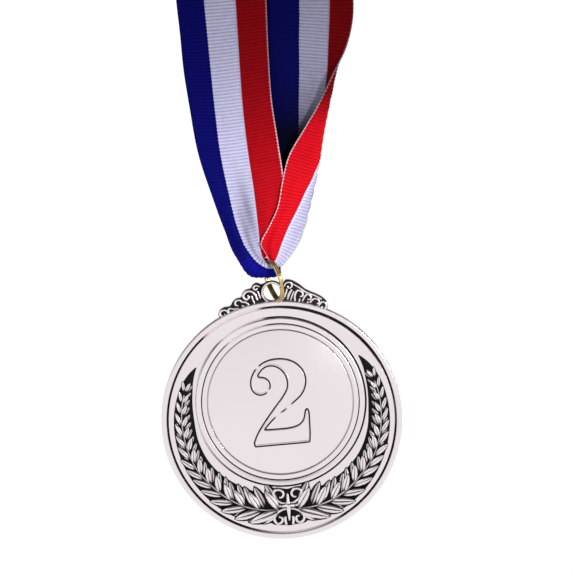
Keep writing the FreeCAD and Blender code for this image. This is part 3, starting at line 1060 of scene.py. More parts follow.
# ---------------------------------------------------------------------------------------------
# Rows of repeated shapes
# ---------------------------------------------------------------------------------------------
@dataclass(frozen=True)
class RowSpec:
    """How one row of repeated shapes is laid along a line; lengths in millimetres, angles in degrees."""

    count: int
    start_scale: float
    end_scale: float
    power: float = 1.0
    angle: float = 0.0
    end_angle: float = 0.0
    lift: float = 0.0
    jitter: float = 0.0
    seed: int = 1
    spread: float = 1.0


ROW_INPUTS: dict[str, str] = {
    "Shape": "Object", "Count": "Int", "Seed": "Int", "Material": "Material",
    **dict.fromkeys(("Start Scale", "End Scale", "Power", "Spread", "Angle", "End Angle", "Lift", "Jitter"), "Float")}


def build_row_tree() -> bpy.types.NodeTree:
    """A geometry node tree that lays a shape along a line, turned and scaled from its start to its end."""
    found = bpy.data.node_groups.get("shape_row")
    if found:
        return found
    tree = bpy.data.node_groups.new("shape_row", "GeometryNodeTree")
    for label, kind in {"Geometry": "Geometry", **ROW_INPUTS}.items():
        tree.interface.new_socket(name=label, in_out="INPUT", socket_type="NodeSocket" + kind)
    tree.interface.new_socket(name="Geometry", in_out="OUTPUT", socket_type="NodeSocketGeometry")
    nodes = Nodes(tree)
    given = nodes.add("NodeGroupInput").outputs
    line = nodes.add("GeometryNodeMeshToCurve", {0: given["Geometry"]})
    stations = nodes.add("GeometryNodeMeshLine", {"Count": given["Count"]})
    index = nodes.add("GeometryNodeInputIndex").outputs[0]
    last = nodes.math("MAXIMUM", nodes.math("SUBTRACT", given["Count"], 1.0), 1.0)
    factor = nodes.math("POWER", nodes.math("DIVIDE", index, last), given["Spread"])
    sample = nodes.add("GeometryNodeSampleCurve", mode="FACTOR", use_all_curves=True)
    nodes.put(sample.inputs["Curves"], line.outputs[0])
    nodes.put(sample.inputs["Factor"], factor)
    tangent = nodes.add("ShaderNodeSeparateXYZ", {0: sample.outputs["Tangent"]}).outputs
    heading = nodes.math("ARCTAN2", tangent[2], tangent[0])
    noise = nodes.add("FunctionNodeRandomValue", {2: nodes.math("MULTIPLY", given["Jitter"], -1.0),
                                                  3: given["Jitter"], "Seed": given["Seed"]}, data_type="FLOAT")
    share = nodes.math("POWER", factor, given["Power"])
    swing = nodes.math("SUBTRACT", given["End Angle"], given["Angle"])
    lean = nodes.math("MULTIPLY_ADD", swing, share, given["Angle"])
    turned = nodes.math("ADD", nodes.math("ADD", heading, lean), noise.outputs[1])
    spin = nodes.add("ShaderNodeCombineXYZ", {1: nodes.math("MULTIPLY", turned, -1.0)})
    grow = nodes.math("SUBTRACT", given["End Scale"], given["Start Scale"])
    size = nodes.math("MULTIPLY_ADD", grow, share, given["Start Scale"])
    shift = nodes.add("ShaderNodeCombineXYZ", {1: nodes.math("MULTIPLY", given["Lift"], -1.0)})
    moved = nodes.add("GeometryNodeSetPosition", {
        "Geometry": stations.outputs[0], "Position": sample.outputs["Position"], "Offset": shift.outputs[0]})
    shape = nodes.add("GeometryNodeObjectInfo", {"Object": given["Shape"]})
    copies = nodes.add("GeometryNodeInstanceOnPoints", {
        "Points": moved.outputs[0], "Instance": shape.outputs["Geometry"], "Rotation": spin.outputs[0],
        "Scale": size})
    real = nodes.add("GeometryNodeRealizeInstances", {0: copies.outputs[0]})
    paint = nodes.add("GeometryNodeSetMaterial", {"Geometry": real.outputs[0], "Material": given["Material"]})
    nodes.add("NodeGroupOutput", {0: paint.outputs[0]})
    return tree


def lay_row(name: str, tree: bpy.types.NodeTree, shape: bpy.types.Object, line: Sequence[Point3], spec: RowSpec,
            material: bpy.types.Material) -> bpy.types.Object:
    """Lays one row of a shape along a line with the node tree, as a plain mesh.

    Args:
        name: the row's name.
        tree: the tree from build_row_tree.
        shape: the repeated object, built about the origin in the XZ plane.
        line: the line's points in millimetres.
        spec: how the row is laid.
        material: the row's material.

    Returns:
        The row's object, with no modifier left.
    """
    carrier_mesh = bpy.data.meshes.new(name + "_line")
    points = [tuple(c * MM for c in p) for p in line]
    carrier_mesh.from_pydata(points, [(k, k + 1) for k in range(len(points) - 1)], [])
    carrier = link_object(name + "_line", carrier_mesh)
    modifier = carrier.modifiers.new("row", "NODES")
    modifier.node_group = tree
    values = {"Shape": shape, "Count": spec.count, "Start Scale": spec.start_scale, "End Scale": spec.end_scale,
              "Power": spec.power, "Spread": spec.spread, "Angle": math.radians(spec.angle),
              "End Angle": math.radians(spec.end_angle), "Lift": spec.lift * MM,
              "Jitter": math.radians(spec.jitter), "Seed": spec.seed, "Material": material}
    for item in tree.interface.items_tree:
        if item.in_out == "INPUT" and item.name in values:
            modifier[item.identifier] = values[item.name]
    bpy.context.view_layer.update()
    return add_object(name, bake_object(carrier))


# ---------------------------------------------------------------------------------------------
# Medal
# ---------------------------------------------------------------------------------------------
@dataclass
class MedalPlate:
    """The cast disc: rim band, groove, flat field, the raised seat ring and the plain back.

    The rim's section is given by distances inward from the disc's edge. Its black groove has an inner part
    on the field's side and an outer part at the foot of the rim.
    """

    centre: Point3 = (0.0, 0.0, -122.0)
    radius: float = 32.5
    field_y: float = -3.8
    rim_y: float = -4.15
    back_y: float = -1.1
    seat_rise: float = 5.0
    seat_radius: float = 19.7
    seat_floor: float = -3.0
    line_radius: float = 21.28
    step_radius: float = 22.9
    # Where the painted highlight on the rim is strongest, in degrees.
    highlight_angle: float = 113.0

    def build_disc(self) -> bpy.types.Object:
        """The disc, turned from its section, with the seat for the numeral disc cut in it."""
        front, rim, back, r = self.field_y, self.rim_y, self.back_y, self.radius
        inward = ((2.45, front), (2.12, front), (1.98, front + 0.04), (1.88, front + 0.2), (1.54, front + 0.22),
                  (1.44, rim + 0.22), (1.32, rim + 0.06), (1.1, rim), (0.5, rim + 0.02), (0.2, rim + 0.12),
                  (0.04, rim + 0.35), (0.0, rim + 0.65), (0.0, back - 0.4), (0.1, back - 0.15), (0.4, back),
                  (1.75, back), (1.84, back - 0.2), (2.14, back - 0.2), (2.24, back))
        section = ((0, front), *((r - depth, y) for depth, y in inward), (0, back))
        disc = lathe("medal_disc", section, self.centre, 180)
        high = front - 1.0
        cutter = lathe("seat_cutter", ((0, high), (self.seat_radius, high), (self.seat_radius, self.seat_floor),
                                       (0, self.seat_floor)), self.seat_centre(), 144)
        cut = disc.modifiers.new("seat", "BOOLEAN")
        cut.operation, cut.object, cut.solver = "DIFFERENCE", cutter, "EXACT"
        mesh = bake_object(disc)
        bpy.data.objects.remove(cutter)
        tidy_normals(mesh, 1e-7)
        disc = add_object("medal_disc", mesh)
        sharpen(disc, 35)
        set_tone(disc, self.tone)
        return disc

    def seat_centre(self) -> Point3:
        """The middle of the seat and of the numeral disc."""
        return (self.centre[0], 0.0, self.centre[2] + self.seat_rise)

    def tone(self, point: Vector) -> float:
        """Dark patina in the rim's groove, paled by painted highlights at the upper left, the right and the bottom,
        and widened onto the field by painted shade at the upper right.

        Args:
            point: a point of the disc in millimetres.

        Returns:
            How polished it is, 0 to 1.
        """
        dx, dz = point.x - self.centre[0], point.z - self.centre[2]
        inward = self.radius - math.hypot(dx, dz)
        angle = math.degrees(math.atan2(dz, dx))
        # The field's edge by the groove: painted shade at the upper right.
        if 1.95 < inward < 2.3 and point.y < self.back_y - 1.0:
            return 1.0 - 0.85 * bell(angle, 58, 42, 4)
        # The groove: dark patina, paled by painted highlights at the upper left, the right and the bottom.
        if 1.42 < inward < 1.9 and point.y > self.rim_y + 0.1:
            return 0.06 + self.painted_highlight(dx, dz, 0.75) + 0.42 * bell(angle, -88, 32)
        return 0.46 if inward < 0.08 else 1.0

    def painted_highlight(self, dx: float, dz: float, most: float) -> float:
        """How much painted highlight pales the blackening: most of it at the upper left, some at the right.

        Args:
            dx: distance to the right of the disc's or the seat's middle.
            dz: distance above it.
            most: the most painted highlight that is added.

        Returns:
            What is added to the polish.
        """
        angle = math.degrees(math.atan2(dz, dx))
        return most * max(bell(angle, self.highlight_angle, 16, 4), 0.30 * bell(angle, 5, 30))

    def build_seat_ring(self) -> bpy.types.Object:
        """The raised ring round the numeral disc, with one engraved line and a rounded step outside."""
        top = self.field_y - 0.42
        s, e, line = self.seat_radius, self.step_radius, self.line_radius
        section = ((s + 0.05, self.field_y + 0.3), (s + 0.06, top + 0.25), (s + 0.16, top + 0.06), (s + 0.3, top),
                   (line - 0.2, top), (line - 0.14, top + 0.04), (line - 0.06, top + 0.18),
                   (line + 0.06, top + 0.18), (line + 0.14, top + 0.04), (line + 0.2, top),
                   (e - 0.75, top), (e - 0.55, top - 0.08), (e - 0.3, top - 0.08), (e - 0.1, top + 0.04),
                   (e, top + 0.2), (e + 0.06, self.field_y - 0.1), (e + 0.42, self.field_y - 0.02),
                   (e + 0.42, self.field_y + 0.3))
        ring = lathe("seat_ring", section, self.seat_centre(), 180)
        sharpen(ring, 35)
        set_tone(ring, self.ring_tone)
        return ring

    def ring_tone(self, point: Vector) -> float:
        """Dark patina in the engraved line and at the foot of the step, paled by the painted highlight at the upper
        left; the step's foot is also paler towards the left.

        Args:
            point: a point of the seat ring in millimetres.

        Returns:
            How polished it is, 0 to 1.
        """
        dx, dz = point.x - self.centre[0], point.z - self.seat_centre()[2]
        radius = math.hypot(dx, dz)
        # The rim's painted highlight, carried onto the seat ring.
        highlight = self.painted_highlight(dx, dz, 0.6)
        if abs(radius - self.line_radius) < 0.18:
            return 0.14 + highlight
        if radius > self.step_radius - 0.06:
            return 0.08 + highlight + 0.5 * max(0.0, -dx / radius) ** 2
        return 0.15 + highlight if radius < self.seat_radius + 0.1 else 1.0

    def scroll(self, name: str, path: Sequence[Point], y: float, radius: float) -> bpy.types.Object:
        """A raised tube along a path in the medal's plane, blackened at its foot.

        Args:
            name: the scroll's name.
            path: its (x, z) points in millimetres from the disc's middle.
            y: the depth of its middle line.
            radius: its radius at the fullest.

        Returns:
            The scroll's object.
        """
        count = len(path)
        radii = [radius * (0.7 + 0.3 * math.sin(math.pi * (k + 0.5) / count)) for k in range(count)]
        obj = tube(name, [(x, y, self.centre[2] + z) for x, z in path], radii, 10, 0.9)
        set_tone(obj, lambda point: 1.0 if point.y < y - 0.35 * radius else (0.6 if point.y < y else 0.05))
        return obj


@dataclass
class NumeralDisc:
    """The separate disc in the seat, with the figure two in thin raised outline."""

    plate: MedalPlate
    radius: float = 19.6
    front_y: float = -4.12
    back_y: float = -3.02
    OUTLINE: tuple[Point, ...] = (
        (-5.6, 12.5), (-4.7, 13.75), (-3.6, 14.6), (-2.3, 14.95), (-1.0, 14.8), (0.3, 14.15), (1.3, 13.1),
        (2.05, 11.7), (2.3, 10.1), (2.15, 8.8), (1.6, 7.6), (0.4, 5.9), (-1.4, 3.8), (-3.2, 1.6), (-5.0, -0.7),
        (-6.6, -3.0), (-7.6, -5.0), (-7.85, -6.0), (-7.6, -6.75), (-4.0, -6.7), (0.0, -6.65), (4.0, -6.6),
        (7.1, -6.5), (7.35, -4.3), (7.45, -1.1), (7.5, 1.2), (7.3, 2.3), (6.95, 2.55), (6.55, 2.1), (6.25, 0.8),
        (5.8, -0.4), (5.0, -1.3), (3.9, -1.85), (1.9, -2.25), (-1.5, -2.35), (-4.9, -2.3), (-3.4, -0.7),
        (-1.6, 0.9), (1.4, 3.0), (4.3, 5.2), (5.7, 6.45), (6.7, 8.0), (7.25, 9.9), (7.2, 11.5), (6.7, 13.1),
        (5.7, 14.5), (4.4, 15.6), (2.6, 16.4), (0.4, 16.75), (-1.9, 16.6), (-4.0, 15.85), (-5.9, 14.4),
        (-7.05, 12.7), (-7.6, 10.9), (-7.45, 9.0), (-6.5, 7.7), (-5.0, 7.2), (-3.5, 7.75), (-2.5, 9.1),
        (-2.6, 10.6), (-3.4, 11.6), (-4.4, 12.0), (-5.2, 12.15))
    # Spots of painted highlight on the figure's line: (x, z, reach).
    HIGHLIGHT_SPOTS: tuple[Point3, ...] = ((2.2, 3.6, 1.5), (-0.8, 1.5, 1.6), (-5.5, 14.7, 1.0), (-3.0, 8.2, 0.9))
    CORNERS: tuple[Point, ...] = ((-7.6, -6.75), (7.1, -6.5), (-4.9, -2.3), (-5.6, 12.5))

    def build_disc(self) -> bpy.types.Object:
        """The plain disc with a rounded edge."""
        f, b, r = self.front_y, self.back_y, self.radius
        section = ((0, f), (r - 0.22, f), (r - 0.08, f + 0.05), (r, f + 0.2), (r, b - 0.1), (r - 0.1, b), (0, b))
        disc = lathe("numeral_disc_face", section, self.plate.seat_centre(), 144)
        sharpen(disc, 35)
        set_tone(disc, 1.0)
        return disc

    def contour(self, shrink: float) -> np.ndarray:
        """The figure's outline, bent smoothly between its corners.

        Args:
            shrink: how far it is moved inwards, in millimetres.

        Returns:
            The (x, z) points of the closed line.
        """
        points = np.array(self.OUTLINE)
        count = len(points)
        corners = sorted(int(np.argmin(np.hypot(*(points - corner).T))) for corner in self.CORNERS)
        dense = []
        for k, start in enumerate(corners):
            stop = corners[(k + 1) % len(corners)] + (count if k == len(corners) - 1 else 0)
            run = np.array([points[i % count] for i in range(start, stop + 1)])
            dense.append(smooth_path(np.c_[run, np.zeros(len(run))], 6)[:-1, :2])
        line = np.vstack(dense)
        area = 0.5 * np.sum(line[:, 0] * np.roll(line[:, 1], -1) - np.roll(line[:, 0], -1) * line[:, 1])
        return line - loop_normals(line) * shrink * math.copysign(1.0, area)

    def build_line(self, name: str, shrink: float, half: float, height: float, dark: bool) -> bpy.types.Object:
        """A low bead along the figure's outline.

        Args:
            name: the piece's name.
            shrink: how far inside the outline it runs.
            half: half its width.
            height: how far it stands out of the disc.
            dark: whether it is the blackened line or the bright edge beside it.

        Returns:
            The bead's object, a closed loop.
        """
        line = self.contour(shrink)
        cz, face = self.plate.centre[2], self.front_y
        section = ((-1.0, 0.06), (-0.8, -0.6), (-0.3, -1.0), (0.3, -1.0), (0.8, -0.6), (1.0, 0.06), (0.0, 0.3))
        rings = [[(x + out_x * across * half, face + (up * height if up < 0 else up), cz + z + out_z * across * half)
                  for across, up in section] for (x, z), (out_x, out_z) in zip(line, loop_normals(line))]
        obj = loft(name, rings, closed=True)
        set_tone(obj, self.fade if dark else 1.0)
        return obj

    def fade(self, point: Vector) -> float:
        """Black patina, paled by painted highlights along the lower diagonal and at the upper left of the bowl.

        Args:
            point: a point of the line in millimetres.

        Returns:
            How polished it is, 0 to 1.
        """
        x, z = point.x, point.z - self.plate.centre[2]
        # Black patina, paled by painted highlights about each spot.
        painted_highlight = 0.16
        for spot_x, spot_z, reach in self.HIGHLIGHT_SPOTS:
            painted_highlight = max(painted_highlight, 0.75 - 0.55 * math.hypot(x - spot_x, z - spot_z) / reach)
        return painted_highlight


@dataclass
class Wreath:
    """Two leafy branches that rise from a tied knot, in relief on a blackened ground."""

    plate: MedalPlate
    tilt: float = 0.45
    STEM: tuple[Point, ...] = ((264.0, 24.6), (250.0, 25.3), (232.0, 26.0), (208.0, 26.6), (190.0, 26.8),
                               (176.0, 27.0), (167.0, 27.2), (159.0, 27.3))
    BAND: tuple[Point3, ...] = ((261.0, 20.7, 28.4), (246.0, 20.8, 29.3), (232.0, 21.3, 29.5), (208.0, 22.6, 29.4),
                                (190.0, 23.2, 29.3), (176.0, 23.6, 29.2), (160.0, 25.0, 28.9), (151.0, 26.2, 28.3),
                                (144.0, 27.0, 27.4))
    KNOT_GROUND: tuple[Point, ...] = (
        (-5.2, -18.9), (-2.6, -18.35), (0, -18.9), (2.6, -18.35), (5.2, -18.9), (4.6, -21.5), (2.9, -23.6),
        (5.0, -25.4), (4.6, -28.2), (1.6, -28.7), (0, -28.9), (-1.6, -28.7), (-4.6, -28.2), (-5.0, -25.4),
        (-2.9, -23.6), (-4.6, -21.5))
    KNOT_LOOPS: tuple[tuple[Point, ...], ...] = (
        ((0.5, -22.7), (1.8, -22.5), (3.3, -21.4), (3.9, -20.0), (3.2, -19.0), (1.9, -19.0), (1.1, -19.9),
         (1.4, -20.9), (2.3, -21.1)),
        ((5.6, -18.9), (5.1, -20.6), (4.2, -22.1), (2.8, -23.2), (1.0, -23.6)),
        ((0.6, -24.2), (2.1, -24.6), (3.5, -25.5), (4.1, -26.9), (3.3, -28.1), (2.1, -27.8), (1.9, -26.7),
         (2.8, -26.3)),
        ((1.0, -26.3), (1.1, -27.3), (0.9, -28.6)), ((4.8, -24.9), (5.4, -25.9), (5.5, -27.2)))

    def stem_line(self, inward: float, y: float) -> list[Point3]:
        """The left branch's stem.

        Args:
            inward: how far it is moved towards the disc's middle.
            y: its depth.

        Returns:
            Its points in millimetres.
        """
        cx, _, cz = self.plate.centre
        spots = [(cx + (r - inward) * math.cos(math.radians(a)), y, cz + (r - inward) * math.sin(math.radians(a)))
                 for a, r in self.STEM]
        return [tuple(p) for p in smooth_path(np.array(spots), 8)]

    def leaf(self, name: str, half_width: float, height: float, shine: float) -> bpy.types.Object:
        """One pointed leaf of unit length along +X, with a raised edge and a sunk vein.

        Args:
            name: the leaf's name.
            half_width: half its width, as a share of its length.
            height: its relief, as a share of its length.
            shine: how polished its crests are, from 0 to 1.

        Returns:
            The leaf, sized so that a scale of 1 makes it one millimetre long.
        """
        stations = (0.0, 0.10, 0.28, 0.5, 0.72, 0.9, 1.0)
        widths = (0.16, 0.6, 0.94, 1.0, 0.80, 0.42, 0.05)
        across = (-1.4, -1.0, -0.84, -0.5, -0.12, 0.0, 0.12, 0.5, 0.84, 1.0, 1.4)
        rise = (0.12, 0.16, 0.78, 1.0, 0.92, 0.62, 0.92, 1.0, 0.78, 0.16, 0.12)
        tone = (0.04, 0.05, 0.50, 0.80, 0.50, 0.06, 0.66, 1.0, 0.90, 0.06, 0.04)
        bm = bmesh.new()
        layer = bm.verts.layers.float.new("polish_and_painted_light")
        rows = []
        for x, w in zip(stations, widths):
            row = []
            for a, h, t in zip(across, rise, tone):
                lift = height * (h * (0.3 + 0.7 * min(1.0, w * 1.3)) + self.tilt * x)
                vert = bm.verts.new((x * MM, -lift * MM, a * w * half_width * MM))
                vert[layer] = max(0.04, t * shine * min(1.0, 0.3 + 2.2 * x) * (1.0 if x < 0.99 else 0.3))
                row.append(vert)
            rows.append(row)
        for a, b in zip(rows, rows[1:]):
            for k in range(len(across) - 1):
                bm.faces.new((a[k], a[k + 1], b[k + 1], b[k]))
        rim = [r[0] for r in rows] + rows[-1][1:] + [r[-1] for r in rows[-2::-1]] + rows[0][-2:0:-1]
        low = [bm.verts.new((v.co.x, height * 0.4 * MM, v.co.z)) for v in rim]
        for vert in low:
            vert[layer] = 0.04
        for k, vert in enumerate(rim):
            n = (k + 1) % len(rim)
            bm.faces.new((vert, rim[n], low[n], low[k]))
        bm.faces.new(low)
        return finish_mesh(name, bm)

    def build(self, metal: bpy.types.Material) -> bpy.types.Object:
        """Both branches as one piece: ground, dark low leaves, bright leaves and stems.

        Args:
            metal: the leaves' material.

        Returns:
            The wreath's object.
        """
        tree = build_row_tree()
        bright = self.leaf("bright_leaf", 0.185, 0.11, 1.0)
        slim = self.leaf("slim_leaf", 0.15, 0.09, 1.0)
        dull = self.leaf("dull_leaf", 0.15, 0.06, 0.68)
        rows = (
            ("dark_inner", dull, 0.5, RowSpec(20, 7.8, 2.4, 0.7, -62, -30, lift=0.02, seed=4, jitter=5, spread=0.87)),
            ("dark_outer", dull, -0.5, RowSpec(17, 5.8, 1.8, 0.7, 38, 24, lift=0.02, seed=5, jitter=5, spread=0.87)),
            ("leaf_inner", bright, 0.15,
             RowSpec(14, 6.6, 2.7, 0.75, -52, -20, lift=0.12, seed=9, jitter=3, spread=0.87)),
            ("leaf_outer", slim, -0.3, RowSpec(15, 8.8, 2.8, 0.7, 22, 20, lift=0.14, seed=10, jitter=3, spread=0.87)),
        )
        y = self.plate.field_y
        pieces = [lay_row(name, tree, shape, self.stem_line(inward, y), spec, metal)
                  for name, shape, inward, spec in rows]
        stem = tube("stem", self.stem_line(0.0, y - 0.2)[::6], [0.28] * 4 + [0.16] * 6, 8, 0.9)
        set_tone(stem, 0.5)
        pieces += [stem, self.build_ground()]
        for shape in (bright, slim, dull):
            bpy.data.objects.remove(shape)
        left = join_meshes("wreath_left", pieces)
        right_mesh = left.data.copy()
        right_mesh.transform(Matrix.Scale(-1.0, 4, (1, 0, 0)))
        right_mesh.flip_normals()
        right = add_object("wreath_right", right_mesh)
        return join_meshes("laurel_wreath", [left, right])

    def build_ground(self) -> bpy.types.Object:
        """The blackened crescent under the left branch."""
        cx, _, cz = self.plate.centre
        foot, top = self.plate.field_y + 0.1, self.plate.field_y - 0.08
        rings = []
        for degrees, low, high in smooth_path(np.array(self.BAND), 6):
            c, s = math.cos(math.radians(degrees)), math.sin(math.radians(degrees))
            rings.append([(cx + radius * c, y, cz + radius * s) for radius, y in (
                (low, foot), (low + 0.05, top), (high - 0.05, top), (high, foot))])
        obj = loft("wreath_ground", rings)
        set_tone(obj, 0.05)
        return obj

    def build_knot(self) -> bpy.types.Object:
        """The tied knot at the branches' feet: two loops above, two below and a pointed spindle."""
        y, cz = self.plate.field_y - 0.35, self.plate.centre[2]
        base = flat_shape("knot_ground", (self.KNOT_GROUND,), 0.14, 0.05, (0, self.plate.field_y - 0.05, cz))
        set_tone(base, 0.08)
        pieces = [base]
        for side in (1, -1):
            for number, path in enumerate(self.KNOT_LOOPS):
                mirrored = [(x * side, z) for x, z in path]
                pieces.append(self.plate.scroll(f"knot_{number}_{side}", mirrored, y, 0.42))
        spindle = tube("spindle", [(0, y, cz - 19.9), (0, y - 0.2, cz - 22.6), (0, y - 0.3, cz - 24.6),
                                   (0, y - 0.1, cz - 27.6)], (0.25, 0.55, 0.62, 0.2), 10, 0.8)
        tie = tube("knot_tie", [(-1.9, y - 0.1, cz - 23.5), (0, y - 0.75, cz - 23.3), (1.9, y - 0.1, cz - 23.5)],
                   (0.35, 0.45, 0.35), 8, 0.7)
        for piece in (spindle, tie):
            set_tone(piece, 0.9)
        return join_meshes("wreath_knot", [*pieces, spindle, tie])


@dataclass
class Crown:
    """The scrolled crest on top of the disc, with the eyelet that the ring goes through."""

    plate: MedalPlate
    eyelet_rise: float = 34.8
    eyelet_radius: float = 3.1
    hole_radius: float = 2.3
    middle_y: float = -2.6
    half: float = 0.8
    RIGHT_OUTLINE: tuple[Point, ...] = (
        (2.9, 37.0), (3.9, 37.9), (5.2, 37.8), (6.6, 37.1), (7.9, 36.1), (9.1, 35.0), (10.5, 34.2), (11.9, 33.5),
        (13.2, 32.7), (14.3, 31.6), (14.8, 30.3), (14.5, 29.2), (13.4, 28.7), (8.0, 29.6))
    LEFT_OUTLINE: tuple[Point, ...] = (
        (-2.7, 37.2), (-4.0, 37.7), (-5.1, 37.2), (-5.7, 36.3), (-7.0, 36.0), (-8.0, 35.2), (-8.5, 34.1),
        (-9.8, 33.8), (-10.8, 33.0), (-11.6, 31.9), (-13.2, 31.7), (-14.4, 31.0), (-14.9, 29.9), (-14.3, 28.9),
        (-13.0, 28.8), (-8.0, 29.6))
    RIGHT_SCROLLS: tuple[tuple[tuple[Point, ...], float], ...] = (
        (((3.4, 36.2), (4.0, 37.1), (5.2, 37.1), (5.5, 36.1), (4.7, 35.6), (4.3, 36.2)), 0.27),
        (((5.9, 36.6), (7.5, 35.5), (9.0, 34.3), (10.6, 33.5), (12.0, 32.8), (13.2, 31.9)), 0.26),
        (((6.0, 32.0), (6.1, 33.5), (6.9, 34.8), (8.1, 34.3), (8.2, 33.3), (7.4, 33.1)), 0.32),
        (((8.0, 31.8), (8.7, 32.9), (9.5, 33.6), (10.4, 32.9), (10.1, 32.1), (9.4, 32.3)), 0.28),
        (((10.0, 31.2), (11.2, 32.2), (12.3, 31.9), (12.5, 31.0), (11.8, 30.8)), 0.27),
        (((12.2, 30.2), (13.3, 31.2), (14.3, 30.7), (14.2, 29.6), (13.4, 29.4), (13.1, 30.0)), 0.30),
        (((3.3, 33.2), (3.9, 34.6), (4.1, 35.5)), 0.22),
        (((4.0, 32.6), (4.6, 34.0), (5.4, 35.2)), 0.30),
        (((4.8, 32.2), (5.3, 33.4), (5.9, 34.6)), 0.20),
        (((7.0, 31.6), (7.4, 32.5)), 0.26),
        (((9.2, 31.1), (9.6, 31.6)), 0.24),
        (((3.2, 32.0), (5.2, 31.7), (7.6, 31.2), (10.0, 30.5), (12.0, 29.8)), 0.18),
    )
    LEFT_SCROLLS: tuple[tuple[tuple[Point, ...], float], ...] = (
        (((-3.2, 36.6), (-4.2, 37.0), (-4.9, 36.4), (-4.3, 35.8), (-3.8, 36.2)), 0.27),
        (((-4.0, 33.0), (-4.6, 34.6), (-5.8, 35.6), (-7.2, 35.3), (-7.8, 34.2), (-7.0, 33.4), (-6.2, 33.9),
          (-6.6, 34.5)), 0.33),
        (((-6.4, 31.9), (-7.2, 32.6), (-8.3, 32.9), (-8.9, 33.4), (-9.9, 33.1), (-10.1, 32.2), (-9.3, 31.9)), 0.29),
        (((-9.2, 31.1), (-10.6, 31.1), (-11.7, 31.3), (-12.1, 30.6), (-11.4, 30.2)), 0.26),
        (((-12.0, 30.0), (-13.0, 31.0), (-14.2, 30.6), (-14.3, 29.7), (-13.4, 29.3), (-13.0, 29.9)), 0.29),
        (((-3.2, 33.4), (-3.6, 34.8), (-3.9, 35.4)), 0.22),
        (((-4.9, 32.2), (-5.3, 33.3), (-5.5, 34.3)), 0.24),
        (((-7.6, 31.5), (-8.4, 31.9)), 0.22),
        (((-3.2, 32.0), (-5.2, 31.7), (-7.6, 31.2), (-10.0, 30.5), (-12.0, 29.8)), 0.18),
    )

    def build(self) -> list[bpy.types.Object]:
        """The pierced plate, its scrolls and the eyelet's bead."""
        cz, rise = self.plate.centre[2], self.eyelet_rise
        r, h = self.eyelet_radius, self.hole_radius
        outline = [(0.0, rise + r), (1.6, rise + 2.75), *self.RIGHT_OUTLINE, (0.0, 30.0),
                   *reversed(self.LEFT_OUTLINE), (-1.6, rise + 2.75)]
        hole = [(h * c, rise + h * s) for c, s in circle(24)]
        plate = flat_shape("crown_plate", (outline, hole), self.half, 0.18, (0, self.middle_y, cz))
        front = self.middle_y - self.half
        set_tone(plate, lambda point: 0.03 if point.y < front + 0.04 else 0.5)
        scrolls = [self.plate.scroll(f"crown_scroll_{number}", path, front - 0.08, 1.15 * radius)
                   for number, (path, radius) in enumerate(self.RIGHT_SCROLLS + self.LEFT_SCROLLS)]
        crest = join_meshes("crown_crest", [plate, *scrolls])
        sharpen(crest, 50)
        section = ((h, front + 1.5), (h, front + 0.1), (h + 0.08, front - 0.3), (h + 0.28, front - 0.5),
                   (r - 0.28, front - 0.5), (r - 0.12, front - 0.28), (r - 0.08, front), (r + 0.04, front),
                   (r + 0.05, front + 0.9))
        bead = lathe("eyelet_bead", section, (0.0, 0.0, cz + rise), 48)
        sharpen(bead, 50)
        set_tone(bead, lambda point: 1.0 if point.y < front - 0.2 else 0.04)
        return [crest, bead]


@dataclass
class SplitRing:
    """The brass ring: two turns of round wire side by side."""

    centre: Point3 = (0.75, -6.6, -83.38)
    axis: Point3 = (0.92887, 0.30902, 0.20423)
    radius: float = 5.8
    wire: float = 0.4
    pitch: float = 0.74
    lean: float = 12.4
    start: float = 200.0
    turns: float = 1.97
    steps: int = 160

    def build(self) -> bpy.types.Object:
        """The coil, its two ends closed and tucked against the middle turn."""
        up = Vector((-math.sin(math.radians(self.lean)), 0, math.cos(math.radians(self.lean))))
        axis = Vector(self.axis).normalized()
        side = up.cross(axis).normalized()
        up = axis.cross(side).normalized()
        rings = []
        for k in range(self.steps + 1):
            share = k / self.steps
            angle = math.radians(self.start) + share * self.turns * 2 * math.pi
            shift = (1 / (1 + math.exp(-(share - 0.5) * 14)) - 0.5) * self.pitch
            out = side * math.cos(angle) + up * math.sin(angle)
            middle = Vector(self.centre) + out * self.radius + axis * shift
            size = self.wire * (1.0 if 0 < k < self.steps else 0.75)
            rings.append([middle + (out * c + axis * s) * size for c, s in circle(12)])
        obj = loft("split_ring_wire", rings)
        sharpen(obj, 50)
        return obj


